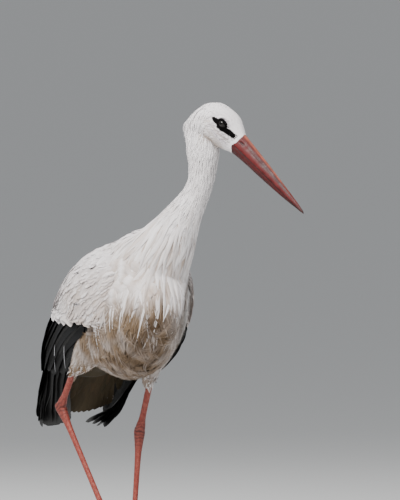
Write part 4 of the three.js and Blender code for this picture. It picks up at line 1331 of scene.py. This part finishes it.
# a place on a wing's chart
def wingPlace(side, forward, degrees):
    return chartPlace("wing%d" % side, (degrees + 10) / 160, (forward + 400) / 560)


# the coverts: rows from the shoulder back, columns from the upper to the lower edge, each feather's length falling
# more steeply towards the lower edge
def covertRows(side, noise):
    rows, columns, covert = wingCoat["rows"], wingCoat["columns"], wingCoat["covert"]
    u, v = np.meshgrid((np.arange(rows) + 0.3) / rows, (np.arange(columns) + 0.5) / columns * 2 - 1, indexing="ij")
    v = v + ((np.arange(rows) % 2) - 0.5)[:, None] / columns
    u = (u + 0.5 / rows * noise.normal(size=u.shape)).ravel().clip(0.005, 0.985)
    v = (v + 0.45 / columns * noise.normal(size=v.shape)).ravel().clip(-1, 0.99)
    edge = through(covertEdge, u)
    forward, degrees = edge[:, 0], mix(edge[:, 1], edge[:, 2], (v + 1) / 2)
    n = len(u)
    rear = smooth(u, 0.1, 0.8)
    length = mix(*covert["length"], rear) * (0.85 + 0.3 * noise.random(n))
    fall = np.radians(mix(4, 16, (v + 1) / 2) + 2.5 * noise.normal(size=n) + 22 * smooth(u, 0.22, 0.0))
    tip = np.stack([forward - length * np.cos(fall), degrees + dropOf(length, fall, 88)], -1)
    tip[:, 1] = np.minimum(tip[:, 1], alongWing(whiteEdge, tip[:, 0], 1) + 2.5 * noise.random(n))

    def depthOf(f, d, s):
        return mix(np.minimum(covertTop(f, d) + 1.8, 11.0), covertTop(f, d) + 0.5, s ** 0.8)

    def paint(path):
        tone = np.broadcast_to(tones["white"], path.shape)
        tone = blendTone(tone, "shade", 0.30 + 0.4 * patches(path, 45, 8))
        # browner towards the wing's lower front by the breast: a stain with painted shade
        dirtAndShade = smooth(degrees, 50, 82) * smooth(forward, -60, 20)
        return blendTone(tone, "breast", ((0.25 + 0.6 * noise.random(n)) * dirtAndShade)[:, None])

    path, normals = barrelPath(side, np.stack([forward, degrees], -1), tip, 9, depthOf)
    return feathers(covert, noise, path, normals, mix(*covert["width"], rear)[:, None],
                    wingPlace(side, forward, degrees), 73, paint)


# one layer of spikes, their tips strung along the edge of the white
def spikeRow(side, noise, layer, count, short):
    spike = wingCoat["spike"]
    x = (np.arange(count) + 0.5 + 0.7 * (noise.random(count) - 0.5)) / count
    line = np.vstack([[[-20, 14], [-78, 11], [-122, 14], [-160, 30]], whiteEdge[:0:-1]])
    scatter = np.stack([-3.5 + 5 * noise.normal(size=count), 0.8 + 2.4 * noise.normal(size=count)], -1)
    tip = through(line, x) + scatter
    length = mix(*spike["length"], smooth(x, 0.35, 0.9)) * short * (0.8 + 0.4 * noise.random(count))
    fall = np.radians(np.interp(x, [0, 0.3, 0.45, 0.6, 1], [2, 8, 26, 40, 32]) + 6 * noise.normal(size=count))
    root = np.stack([tip[:, 0] + length * np.cos(fall), tip[:, 1] - dropOf(length, fall, 92)], -1)

    def depthOf(f, d, s):
        top = covertTop(f, d)
        return mix(np.minimum(top + 4.5, 10.0), np.minimum(top + 0.3, 6.8) - 0.5 * layer, s ** 0.7)

    path, normals = barrelPath(side, root, tip, 10, depthOf)
    return feathers(spike, noise, path, normals, mix(*spike["width"], smooth(x, 0.35, 0.6))[:, None],
                    wingPlace(side, root[:, 0], root[:, 1]), 76 + layer,
                    lambda path: np.broadcast_to(tones["white"], path.shape))


def makeWingCoat(side):
    noise = np.random.default_rng(71 if side == 1 else 72)
    batches = [covertRows(side, noise)]
    for layer, (count, short) in enumerate(wingCoat["layers"]):
        batches.append(spikeRow(side, noise, layer, count, short))
    return coatObject("wing_%s_coat" % sideName[side], batches, whiteVane, "white_plumage", 0.93)


# The flight feathers: roots and tips go from the upper to the lower end of their row, as forward and degrees on the
# barrel, with half width and depth at both ends. forward and depth under "left" are the left wing's, which hangs a
# little further forward.
flightSets = {
    "secondaries": {"count": 14, "root": [[-95, 12], [66, 122]], "tip": [[-318, 6], [-110, 139]], "bulge": -50,
                    "half": [19, 15], "inset": [8.2, 11.5], "outward": 3.6, "left": {"forward": 27, "depth": 5.8}},
    "primaries": {"count": 9, "root": [[-190, 56], [-110, 130]], "tip": [[-348, 36], [-366, 165]], "bulge": -34,
                  "half": [17, 14], "inset": [12.0, 15.0], "outward": 3.6},
}
silverRims = {"root": [[-118, 102.5], [-62, 111.5]], "tip": [[-156, 121.5], [-110, 129]], "depth": 5.6}


# long black vanes from under the coverts, their tips in an arc, and two pale rims among them
def makeFlight(side):
    batches = []
    steps, cross = 26, 9
    s = np.linspace(0, 1, steps)
    shift = 0.2 * (side < 0)  # the right wing's place on the unwrap lies beside the left's
    for key, shape in flightSets.items():
        noise = np.random.default_rng(81 + side + (0 if key == "primaries" else 5))
        count = shape["count"]
        x = (np.arange(count) + 0.5) / count
        x = x + 0.12 / count * noise.normal(size=count)
        root, tip = [np.stack([mix(shape[end][0][k], shape[end][1][k], x) for k in (0, 1)], -1)
                     for end in ("root", "tip")]
        tip[:, 0] += shape["bulge"] * np.sin(np.pi * x) + 4 * noise.normal(size=count)
        depth = mix(*shape["inset"], x)[:, None]
        if side == 1 and "left" in shape:
            root[:, 0] += shape["left"]["forward"] * smooth(x, 0.55, 1.0)
            depth = mix(depth, shape["left"]["depth"], smooth(x, 0.6, 0.95)[:, None])
        path, normals = barrelPath(side, root, tip, steps,
                                   lambda f, d, t: depth - shape["outward"] * smooth(t, 0.25, 0.8))
        half = mix(*shape["half"], x)[:, None] * outlineOf(s, 0.15, 0.78, 2.2, 0.05, 0.5)
        thick = 0.55 * (1 - 0.75 * s) * np.ones((count, 1))
        cell = np.stack([0.53 + shift + 0.0 * x, 0.02 + 0.3 * x], -1)
        batches.append(vanes(path, normals, half, 0 * half, thick, cross, 0.06, -side * 0.07, 0.05,
                             np.broadcast_to(tones["black"], path.shape), cell, 0.012, seed=83))
    path, normals = barrelPath(side, np.array(silverRims["root"]), np.array(silverRims["tip"]), 12,
                               lambda f, d, t: silverRims["depth"] + 0 * f)
    half = outlineOf(np.linspace(0, 1, 12), 0.4, 0.5, 1.5, 0.1, 0.2) * np.ones((2, 1))
    cell = np.array([[0.60, 0.40], [0.62, 0.42]]) + [shift, 0]
    batches.append(vanes(path, normals, half, 0 * half, 0.5 + 0 * half, 4, 0.1, 0.0, 0,
                         np.broadcast_to(tones["silver"], path.shape), cell, seed=86))
    return coatObject("wing_%s_flight" % sideName[side], batches, blackVane, "black_plumage")


# the tail: a fan of broad feathers, and coverts above and below it in rows that shorten towards its root
tailCoat = {
    "fan": {"count": 12, "half": 8.6, "steps": 20, "cross": 7},
    "covert": {"rows": 9, "columns": 11, "width": 7.0, "vary": [0.8, 0.4], "outline": [0.25, 0.5, 1.6, 0.06, 0.35],
               "thick": [0.5, 0.7], "camber": 0.18, "roll": 0.12, "ragged": 0.25, "tones": 0.12},
    "reach": {1: 0.24, -1: 0.30},
    "up": [0.55, 0, 0.84],
}


# the fan's feathers lie side by side on the tail, the middle ones uppermost, white greyed by painted shade above, and
# dirty and darkened by painted shade beneath
def tailFan(up):
    fan = tailCoat["fan"]
    s = np.linspace(0, 1, fan["steps"])
    v = np.linspace(-0.9, 0.9, fan["count"])
    path = onTail(mix(0.15, 0.985 - 0.075 * v[:, None] ** 2, s), v[:, None] * (0.55 + 0.45 * s))
    order = 1.6 - 3.2 * np.abs(v)[:, None]
    path = path + up * (order * np.ones(fan["steps"]))[..., None]
    half = fan["half"] * outlineOf(s, 0.2, 0.8, 2.2, 0.08, 0.5) * np.ones((fan["count"], 1))
    thick = 0.5 * (1 - 0.7 * s) * np.ones((fan["count"], 1))
    across = crossOf(fan["cross"])[0]
    beneath = ((np.arange(len(across)) >= fan["cross"]) | (np.abs(across) > 0.9))[None, None, :, None]
    # painted shade: the fan greyed above, dirty and darkened beneath
    dirtyAndShaded, clean = mix(tones["vent"], tones["mudAndShade"], 0.25), mix(tones["white"], tones["shade"], 0.6)
    tone = np.where(beneath, dirtyAndShaded, clean) * np.ones((fan["count"], fan["steps"], 1, 1))
    return vanes(path, np.broadcast_to(unit(up), path.shape), half, 0 * half, thick, fan["cross"], 0.03, 0.0, 0.08,
                 tone, chartPlace("tail", 0.5 + 0.5 * v, 0.1 + 0 * v), 0.012, seed=92)


# the coverts above (1) or below (-1), each rising off the tail's thickness towards its tip
def tailCoverts(above, up, noise):
    covert = tailCoat["covert"]
    u, v = np.meshgrid(np.linspace(0.02, 0.42, covert["rows"]), np.linspace(-0.95, 0.95, covert["columns"]),
                       indexing="ij")
    u = (u + 0.02 * noise.normal(size=u.shape)).ravel()
    v = (v + 0.05 * noise.normal(size=v.shape)).ravel()
    n = len(u)
    t = np.linspace(0, 1, 9)
    reach = tailCoat["reach"][above] * (0.8 + 0.4 * noise.random(n))
    along = (u[:, None] + reach[:, None] * t).clip(0, 1)
    depth = through(tailKnots, along)[..., 4] * np.sqrt(np.maximum(1 - v[:, None] ** 2, 0.2)) / 2
    offset = above * (depth - 3.0 + 3.2 * t + 0.8 * noise.random((n, 1)))
    path = onTail(along, v[:, None] * (1 + 0.08 * t)) + unit(up) * offset[..., None]

    def paint(path):
        # the coverts greyed above, and dirty and darkened beneath, with painted shade
        if above == 1:
            return np.broadcast_to(mix(tones["white"], tones["shade"], 0.4), path.shape)
        return mix(tones["vent"], tones["mudAndShade"], 0.1 + 0.5 * noise.random((n, 1, 1)) ** 2) * np.ones(path.shape)

    return feathers(covert, noise, path, np.broadcast_to(unit(up) * above, path.shape), covert["width"],
                    chartPlace("tail", 0.5 + 0.5 * v * 0.98, u + 0.2 * above + 0.3), 94 + above, paint)


def makeTailCoat():
    noise = np.random.default_rng(91)
    up = wayAt(tailCoat["up"])
    batches = [tailFan(up)] + [tailCoverts(above, up, noise) for above in (1, -1)]
    return coatObject("tail_feathers", batches, downyVane, "dusty_plumage")


for make in (makeHeadCoat, makeNeckCoat, makeRuff, makeBreastCoat, makeLocks, makeBackCoat, makeThighCoat,
             makeTailCoat):
    make()
for side in (1, -1):
    makeWingCoat(side)
    makeFlight(side)


# the skin's finish: scales and pores to a metre, how dark the scales' rims are, and how rough and glossy the skin is
# under feathers, each with what the bare legs and the face take away
skinFinish = {"scales": 520.0, "pores": 900.0, "rim": 0.42, "rough": [0.85, 0.36, 0.1], "gloss": [0.4, 0.34]}


# skin: the painted tint; bare legs get small scales, the face a fine grain, and skin under feathers is matt
def skinMaterial():
    material, tree, shader = newMaterial("bird_skin", {})
    place = node(tree, "ShaderNodeTexCoord").outputs["Object"]
    bare, face = stored(tree, "bare"), stored(tree, "face")
    cells = {"Vector": stretched(tree, place, (1.0, 1.0, 0.62)), "Scale": skinFinish["scales"], "Randomness": 0.75}
    scales = node(tree, "ShaderNodeTexVoronoi", cells, feature="DISTANCE_TO_EDGE")
    pores = grainOf(tree, place, skinFinish["pores"], 3.0)
    rim = ramp(tree, scales.outputs["Distance"], 0.0, 0.16)
    sunk = product(tree, bare, product(tree, math2(tree, "SUBTRACT", rim, 1.0), skinFinish["rim"]))
    gain = product(tree, math2(tree, "ADD", 1.0, sunk), ramp(tree, pores, 0.3, 0.7, 0.9, 1.08))
    height = math2(tree, "ADD", product(tree, rim, bare), product(tree, pores, 0.5))
    surface(tree, shader, stored(tree, "tint", "Color"), gain, height, 0.45, 0.0006)
    dull, onLegs, onFace = skinFinish["rough"]
    less = math2(tree, "ADD", product(tree, bare, onLegs), product(tree, face, onFace))
    tree.links.new(math2(tree, "SUBTRACT", dull, less), shader.inputs["Roughness"])
    gloss, onFace = skinFinish["gloss"]
    tree.links.new(math2(tree, "SUBTRACT", gloss, product(tree, face, onFace)), shader.inputs["Specular IOR Level"])
    return material


# the names of the solids on both sides
def bothSides(*names):
    return [name % side for name in names for side in sideName.values()]


putAttributes(skinMesh, skinColours(skinMesh))
skinMesh.materials.clear()
skinMesh.polygons.foreach_set("use_smooth", np.ones(len(skinMesh.polygons), bool))
finished("skin", skinMesh, skinMaterial(), "white_plumage", "head", "neck_upper", "neck_lower", "trunk", "tail",
         *bothSides("thigh_%s", "wing_%s_coverts", "shin_%s", "tarsus_%s"),
         *bothSides(*["toe_%s_" + toe for toe in legShape["toes"]]))
report("skin painted")


# The bill: a ring is its share of the length, half width, top, gape and bottom, up from the base's middle. The
# nostril is ahead, up, half length and half height. The colours are screen colours.
billShape = {
    "rings": [[-0.03, 13.2, 19, -1.2, -17.2], [0.16, 11, 16.2, -1.2, -14.2], [0.35, 8.8, 13.3, -1, -12.4],
              [0.5, 7, 10.6, -1.2, -11], [0.64, 5.4, 8, -1.6, -9.3], [0.78, 3.9, 5.2, -2, -7],
              [0.9, 2.5, 2.6, -2.3, -4.6], [1, 1.1, -0.4, -2.4, -2.9]],
    "gap": 0.3,
    "nostril": [11.0, 9.4, 5.8, 1.15],
    "nostrilDepth": 1.5,
    "grooveDepth": 0.45,
    "grain": 0.05,
    "colours": {"edge": (0.45, 0.15, 0.135), "side": (0.32, 0.04, 0.042), "lower": (0.26, 0.036, 0.038),
                "dark": (0.16, 0.045, 0.055), "line": (0.07, 0.015, 0.02), "tip": (0.13, 0.075, 0.06),
                "pale": (0.74, 0.46, 0.38)},
}
billRings = np.array(billShape["rings"])


# half a bill: ovals strung on the gape line, full on its own side of it and almost flat on the other, with nostril,
# groove and grain sunk in; also how far inside the nostril each point lies
def billHalf(upper, rows=150, sides=72):
    share, width, top, gape, low = billRings.T
    gape = gape - (0 if upper else billShape["gap"])
    full, flat = top - gape if upper else gape - low, 0 * gape + 0.01
    middles = inHead(np.stack([share * billLength, 0 * share, gape], -1))
    knots = np.column_stack([middles, width, full if upper else flat, flat if upper else full])
    if not upper:
        knots[-1] = mix(knots[-2], knots[-1], 0.75)
    shape = form(knots, yaw=lambda t: headYaw + 0 * t, powers=(1.75, 2.0) if upper else (2.0, 1.8),
                 rounded=(0.02, 0.06), inFrame=True)
    even = np.linspace(0, 1, rows)
    t = mix(0.0015, 0.9985, (1 - np.cos(np.pi * even)) / 2 * 0.5 + even * 0.5)
    angle = np.linspace(0, 2 * np.pi, sides, endpoint=False)
    grid = onForm(shape, t[:, None], angle[None, :])
    a, l, u = np.moveaxis(toHead(grid), -1, 0)
    out = unit(grid - grid.mean(1, keepdims=True))
    share = a / billLength
    dent, inside = 0 * a, 0 * a
    if upper:
        ahead, up, long, high = billShape["nostril"]
        slit = np.hypot((a - ahead) / long, (u - up) / high)
        inside = smooth(slit, 1.15, 0.6)
        groove = np.exp(-((u - mix(9.2, 6.4, np.clip(share / 0.5, 0, 1))) / 1.1) ** 2)
        groove = groove * smooth(a, 12, 22) * smooth(share, 0.55, 0.3) * (np.abs(l) > 2)
        dent = billShape["nostrilDepth"] * smooth(slit, 1.25, 0.55) + billShape["grooveDepth"] * groove
    grain = np.sin(a * 1.9 + 2.5 * np.sin(u * 0.5)) + np.sin(u * 4.2 + 0.06 * a)
    dent = dent + billShape["grain"] * grain * smooth(share, 1.0, 0.8) + 0.12 * patches(grid, 17, 3)
    points, faces = closedTube(grid - out * (dent * smooth(share, 1.0, 0.93))[..., None])
    return points, faces, np.concatenate([inside.ravel(), [0, 0]])


# the bill's colours: red, darker along the flanks, a dark line of painted shade along the gape, paler on the ridge, and
# nearly black at the tip; the nostril is painted dark as the shade inside it
def billColours(points, upper, nostril):
    a, l, u = np.moveaxis(toHead(points), -1, 0)
    share = a / billLength
    top, gape, low = [np.interp(share, billRings[:, 0], billRings[:, k]) for k in (2, 3, 4)]
    key = {name: linear(colour) for name, colour in billShape["colours"].items()}
    tone = np.broadcast_to(key["side" if upper else "lower"], points.shape)

    def blend(name, amount):
        return tone + (key[name] - tone) * np.clip(amount, 0, 1)[:, None]

    streak = 0.5 + 0.5 * patches(np.stack([a * 0.10, l * 0.6, u], -1) * 3.0, 9, 2)
    if upper:
        rise = (u - gape) / np.maximum(top - gape, 0.5)
        flank = smooth(rise, 0.42, 0.62) * smooth(rise, 0.9, 0.74)
        flank = flank * smooth(share, 0.05, 0.3) * smooth(share, 0.98, 0.6)
        tone = blend("dark", 0.75 * flank * (0.45 + streak))
        tone = blend("pale", 0.55 * smooth(rise, 0.86, 1.0) * smooth(share, 0.95, 0.5))
        tone = blend("edge", 0.4 * smooth(rise, 0.2, 0.0) * streak)
        # painted shade inside the nostril
        tone = blend("dark", 0.9 * nostril)
    else:
        rise = (gape - u) / np.maximum(gape - low, 0.5)
        tone = blend("edge", 0.35 * smooth(rise, 0.35, 0.1) * streak)
        tone = blend("dark", 0.55 * smooth(rise, 0.5, 1.0) * (0.4 + streak))
        tone = blend("tip", smooth(share, 0.66, 0.9) * (0.55 + 0.5 * smooth(rise, 0.2, 0.8)))
    # painted shade in the seam of the gape
    tone = blend("line", 0.9 * np.exp(-((u - gape) / 0.9) ** 2) * smooth(share, 0.99, 0.9))
    tone = blend("dark", 0.5 * smooth(share, 0.04, -0.02))
    tone = blend("tip", (0.75 if upper else 0.95) * smooth(share, 0.86 if upper else 0.8, 0.99))
    return tone * (0.9 + 0.2 * streak)[:, None]


# horn: long fibres and broader flakes along the bill, in the tint, the relief and the gloss
def billMaterial():
    material, tree, shader = newMaterial("bill_horn", {"Specular IOR Level": 0.35})
    place = stored(tree, "headPlace", "Vector")
    fibres = grainOf(tree, stretched(tree, place, (14.0, 260.0, 260.0)), 1.0, 4.0, Roughness=0.6)
    flakes = grainOf(tree, stretched(tree, place, (90.0, 160.0, 160.0)), 1.0, 5.0)
    gain = product(tree, ramp(tree, fibres, 0.3, 0.7, 0.76, 1.2), ramp(tree, flakes, 0.35, 0.7, 0.86, 1.12))
    height = math2(tree, "ADD", fibres, product(tree, flakes, 0.6))
    surface(tree, shader, stored(tree, "tint", "Color"), gain, height, 0.35, 0.0005)
    tree.links.new(ramp(tree, flakes, 0.3, 0.7, 0.38, 0.60), shader.inputs["Roughness"])
    return material


horn = billMaterial()
for upper in (True, False):
    points, faces, inside = billHalf(upper)
    half = "upper" if upper else "lower"
    looks = {"tint": billColours(points, upper, inside), "headPlace": toHead(points) / 1000}
    mesh = meshFrom("bill_%s_horn" % half, insideBox(points), faces, looks, None, 70)
    finished(mesh.name, mesh, horn, "bill", "bill_" + half)
report("bill")


# the eyes: radii of iris and pupil, how far the front swells, and their screen colours
eyeShape = {"iris": 4.6, "pupil": 2.5, "cornea": 0.55, "ring": (0.05, 0.04, 0.035), "inner": (0.115, 0.09, 0.075),
            "white": (0.03, 0.025, 0.03)}


# two colours, or a colour and a socket, mixed by a factor
def mixed(tree, factor, a, b):
    blend = node(tree, "ShaderNodeMix", {"Factor": factor}, data_type="RGBA")
    for socket, colour in ((blend.inputs[6], a), (blend.inputs[7], b)):
        if isinstance(colour, bpy.types.NodeSocket):
            tree.links.new(colour, socket)
        else:
            socket.default_value = (*colour, 1)
    return blend.outputs[2]


# the eye's finish: a black pupil, an iris with spokes, and a darker white, by the distance from the eye's axis
def eyeMaterial():
    material, tree, shader = newMaterial("eye_gloss", {"Roughness": 0.07, "Specular IOR Level": 0.32})
    away = stored(tree, "away")
    around = {"X": product(tree, stored(tree, "spoke"), 9.0), "Y": away}
    fibres = grainOf(tree, node(tree, "ShaderNodeCombineXYZ", around).outputs[0], 6.0, 3.0)
    iris = mixed(tree, ramp(tree, fibres, 0.3, 0.7), linear(eyeShape["ring"]), linear(eyeShape["inner"]))
    edge = ramp(tree, away, eyeShape["pupil"] - 0.25, eyeShape["pupil"] + 0.35)
    dark = mixed(tree, edge, (0.002, 0.002, 0.002), iris)
    rim = ramp(tree, away, eyeShape["iris"] - 0.5, eyeShape["iris"] + 0.2)
    tree.links.new(mixed(tree, rim, dark, linear(eyeShape["white"])), shader.inputs["Base Color"])
    return material


# the eyeballs: a ball whose front swells a little over the iris, radius + cornea * smooth(latitude)
eyeGloss = eyeMaterial()
for side in (1, -1):
    lat = np.linspace(0.02, np.pi - 0.02, 48)[:, None]
    lon = np.linspace(0, 2 * np.pi, 64, endpoint=False)[None, :]
    radius = bodyShape["eyeBall"] + eyeShape["cornea"] * smooth(lat, 0.85, 0.25)
    ring = np.sin(lat)
    ball = np.stack([ring * np.cos(lon), side * (np.cos(lat) + 0 * lon), ring * np.sin(lon)], -1)
    ball = radius[..., None] * ball
    centre = np.array(bodyShape["eyePlace"]) * [1, side, 1]
    ball[..., 1] -= side * eyeShape["cornea"]
    points, faces = closedTube(inHead(centre + ball))
    local = toHead(points) - centre
    looks = {"away": np.where(local[:, 1] * side > 0, np.hypot(local[:, 0], local[:, 2]), 9.0),
             "spoke": np.abs(np.arctan2(local[:, 2], local[:, 0])) / np.pi}
    name = "eyeball_" + sideName[side]
    finished(name, meshFrom(name, points, faces, looks), eyeGloss, "eye", "eye_" + sideName[side])
report("eyes")


# the claws: their rings are half width, above and below, from the toe to the point
clawShape = {"length": 12.5, "hook": 4.2, "sunk": 2.5, "shares": [0, 0.35, 0.7, 1.0],
             "rings": [[3.1, 2.5, 2.0], [2.35, 1.95, 1.55], [1.5, 1.3, 1.05], [0.75, 0.65, 0.55]]}


# a claw: ovals that shrink along the toe's last direction and bend down with the square of the way
def makeClaws():
    parts = []
    share = np.array(clawShape["shares"])
    for side, knee, ankle, foot in legs:
        for name in legShape["toes"]:
            toe = toeForm(foot, side, name)["knots"]
            ahead = unit(toe[-1, :3] - toe[-2, :3])
            middle = toe[-1, :3] - clawShape["sunk"] * ahead + ahead * (clawShape["length"] * share)[:, None]
            middle[:, 2] += 1 - clawShape["hook"] * share ** 2
            rings = np.hstack([middle, np.array(clawShape["rings"])])
            points, faces = loftMesh(form(rings, rounded=(0.05, 0.3), inFrame=True), 26, 20)
            points[:, 2] = np.maximum(points[:, 2], 0.0)
            parts.append((points, faces))
    return joined(parts)


# dark horn, browner in patches
def clawMaterial():
    material, tree, shader = newMaterial("claw_horn", {"Roughness": 0.42})
    grain = grainOf(tree, node(tree, "ShaderNodeTexCoord").outputs["Object"], 420.0, 3.0)
    tone = mixed(tree, ramp(tree, grain, 0.35, 0.65), (0.016, 0.012, 0.011), (0.06, 0.042, 0.034))
    surface(tree, shader, tone, None, grain, 0.3, 0.0004)
    return material


finished("claws", meshFrom("claws", *makeClaws()), clawMaterial(), "claw",
         *bothSides(*["claw_%s_" + toe for toe in legShape["toes"]]))
report("claws, and what the pieces stand for")


# floor, light and camera: a light is its place, target, size, power and colour; the aim is the view's middle
studio = {
    "floor": (0.66, 0.66, 0.65), "floorRadius": 90000.0, "sky": (0.93, 0.96, 1.0), "skyStrength": 0.46,
    "key": [(-1.3, -1.5, 2.6), (0.0, 0.0, 0.45), (1.6, 1.6), 175.0, (1.0, 0.98, 0.95)],
    "fill": [(2.2, -2.4, 1.2), (0.0, 0.0, 0.4), (2.0, 2.0), 8.0, (0.95, 0.97, 1.0)],
    "rim": [(-0.6, 2.4, 2.2), (0.0, 0.0, 0.5), (1.6, 1.2), 40.0, (1.0, 1.0, 1.0)],
    "azimuth": -15.0, "elevation": 2.0, "aim": (0.0986, -0.0336, 0.486), "distance": 26.0, "lens": 1253.0,
    "clip": 250.0,
}


# a round floor: rings about a middle point
def makeFloor():
    material = newMaterial("studio_floor", {"Base Color": (*studio["floor"], 1), "Roughness": 0.9})[0]
    rings, sides = 14, 96
    r = studio["floorRadius"] * np.linspace(0.02, 1, rings)[:, None]
    angle = np.linspace(0, 2 * np.pi, sides, endpoint=False)[None, :]
    points = np.stack([r * np.cos(angle), r * np.sin(angle), 0 * r + 0 * angle], -1).reshape(-1, 3)
    j = np.arange(sides)
    hub = np.stack([np.full(sides, len(points)), j, (j + 1) % sides], -1)
    faces = np.vstack([halved(gridQuads(rings, sides, False, True)[:, [0, 3, 2, 1]]), hub])
    addObject("floor", meshFrom("floor", np.vstack([points, [[0, 0, 0]]]), faces), material)


# a lamp or camera at a place, turned to look at its target
def aimed(thing, place, target):
    thing.location = place
    thing.rotation_euler = (Vector(target) - Vector(place)).to_track_quat("-Z", "Y").to_euler()


# a soft lamp: a lit rectangle
def areaLight(name, place, target, size, power, colour):
    light = bpy.data.lights.new(name, "AREA")
    light.shape, light.size, light.size_y = "RECTANGLE", size[0], size[1]
    light.energy, light.color = power, colour
    aimed(addObject(name, light), place, target)


makeFloor()
world = bpy.data.worlds.new("studio")
world.use_nodes = True
background = world.node_tree.nodes["Background"]
background.inputs["Color"].default_value = (*studio["sky"], 1)
background.inputs["Strength"].default_value = studio["skyStrength"]
bpy.context.scene.world = world
for name in ("key", "fill", "rim"):
    areaLight(name, *studio[name])

turn, rise = math.radians(studio["azimuth"]), math.radians(studio["elevation"])
away = Vector((math.sin(turn) * math.cos(rise), -math.cos(turn) * math.cos(rise), math.sin(rise)))
cameraData = bpy.data.cameras.new("camera")
cameraData.lens, cameraData.sensor_width, cameraData.clip_end = studio["lens"], 36.0, studio["clip"]
camera = addObject("camera", cameraData)
aimed(camera, Vector(studio["aim"]) + away * studio["distance"], studio["aim"])
bpy.context.scene.camera = camera

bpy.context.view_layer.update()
report("finished")
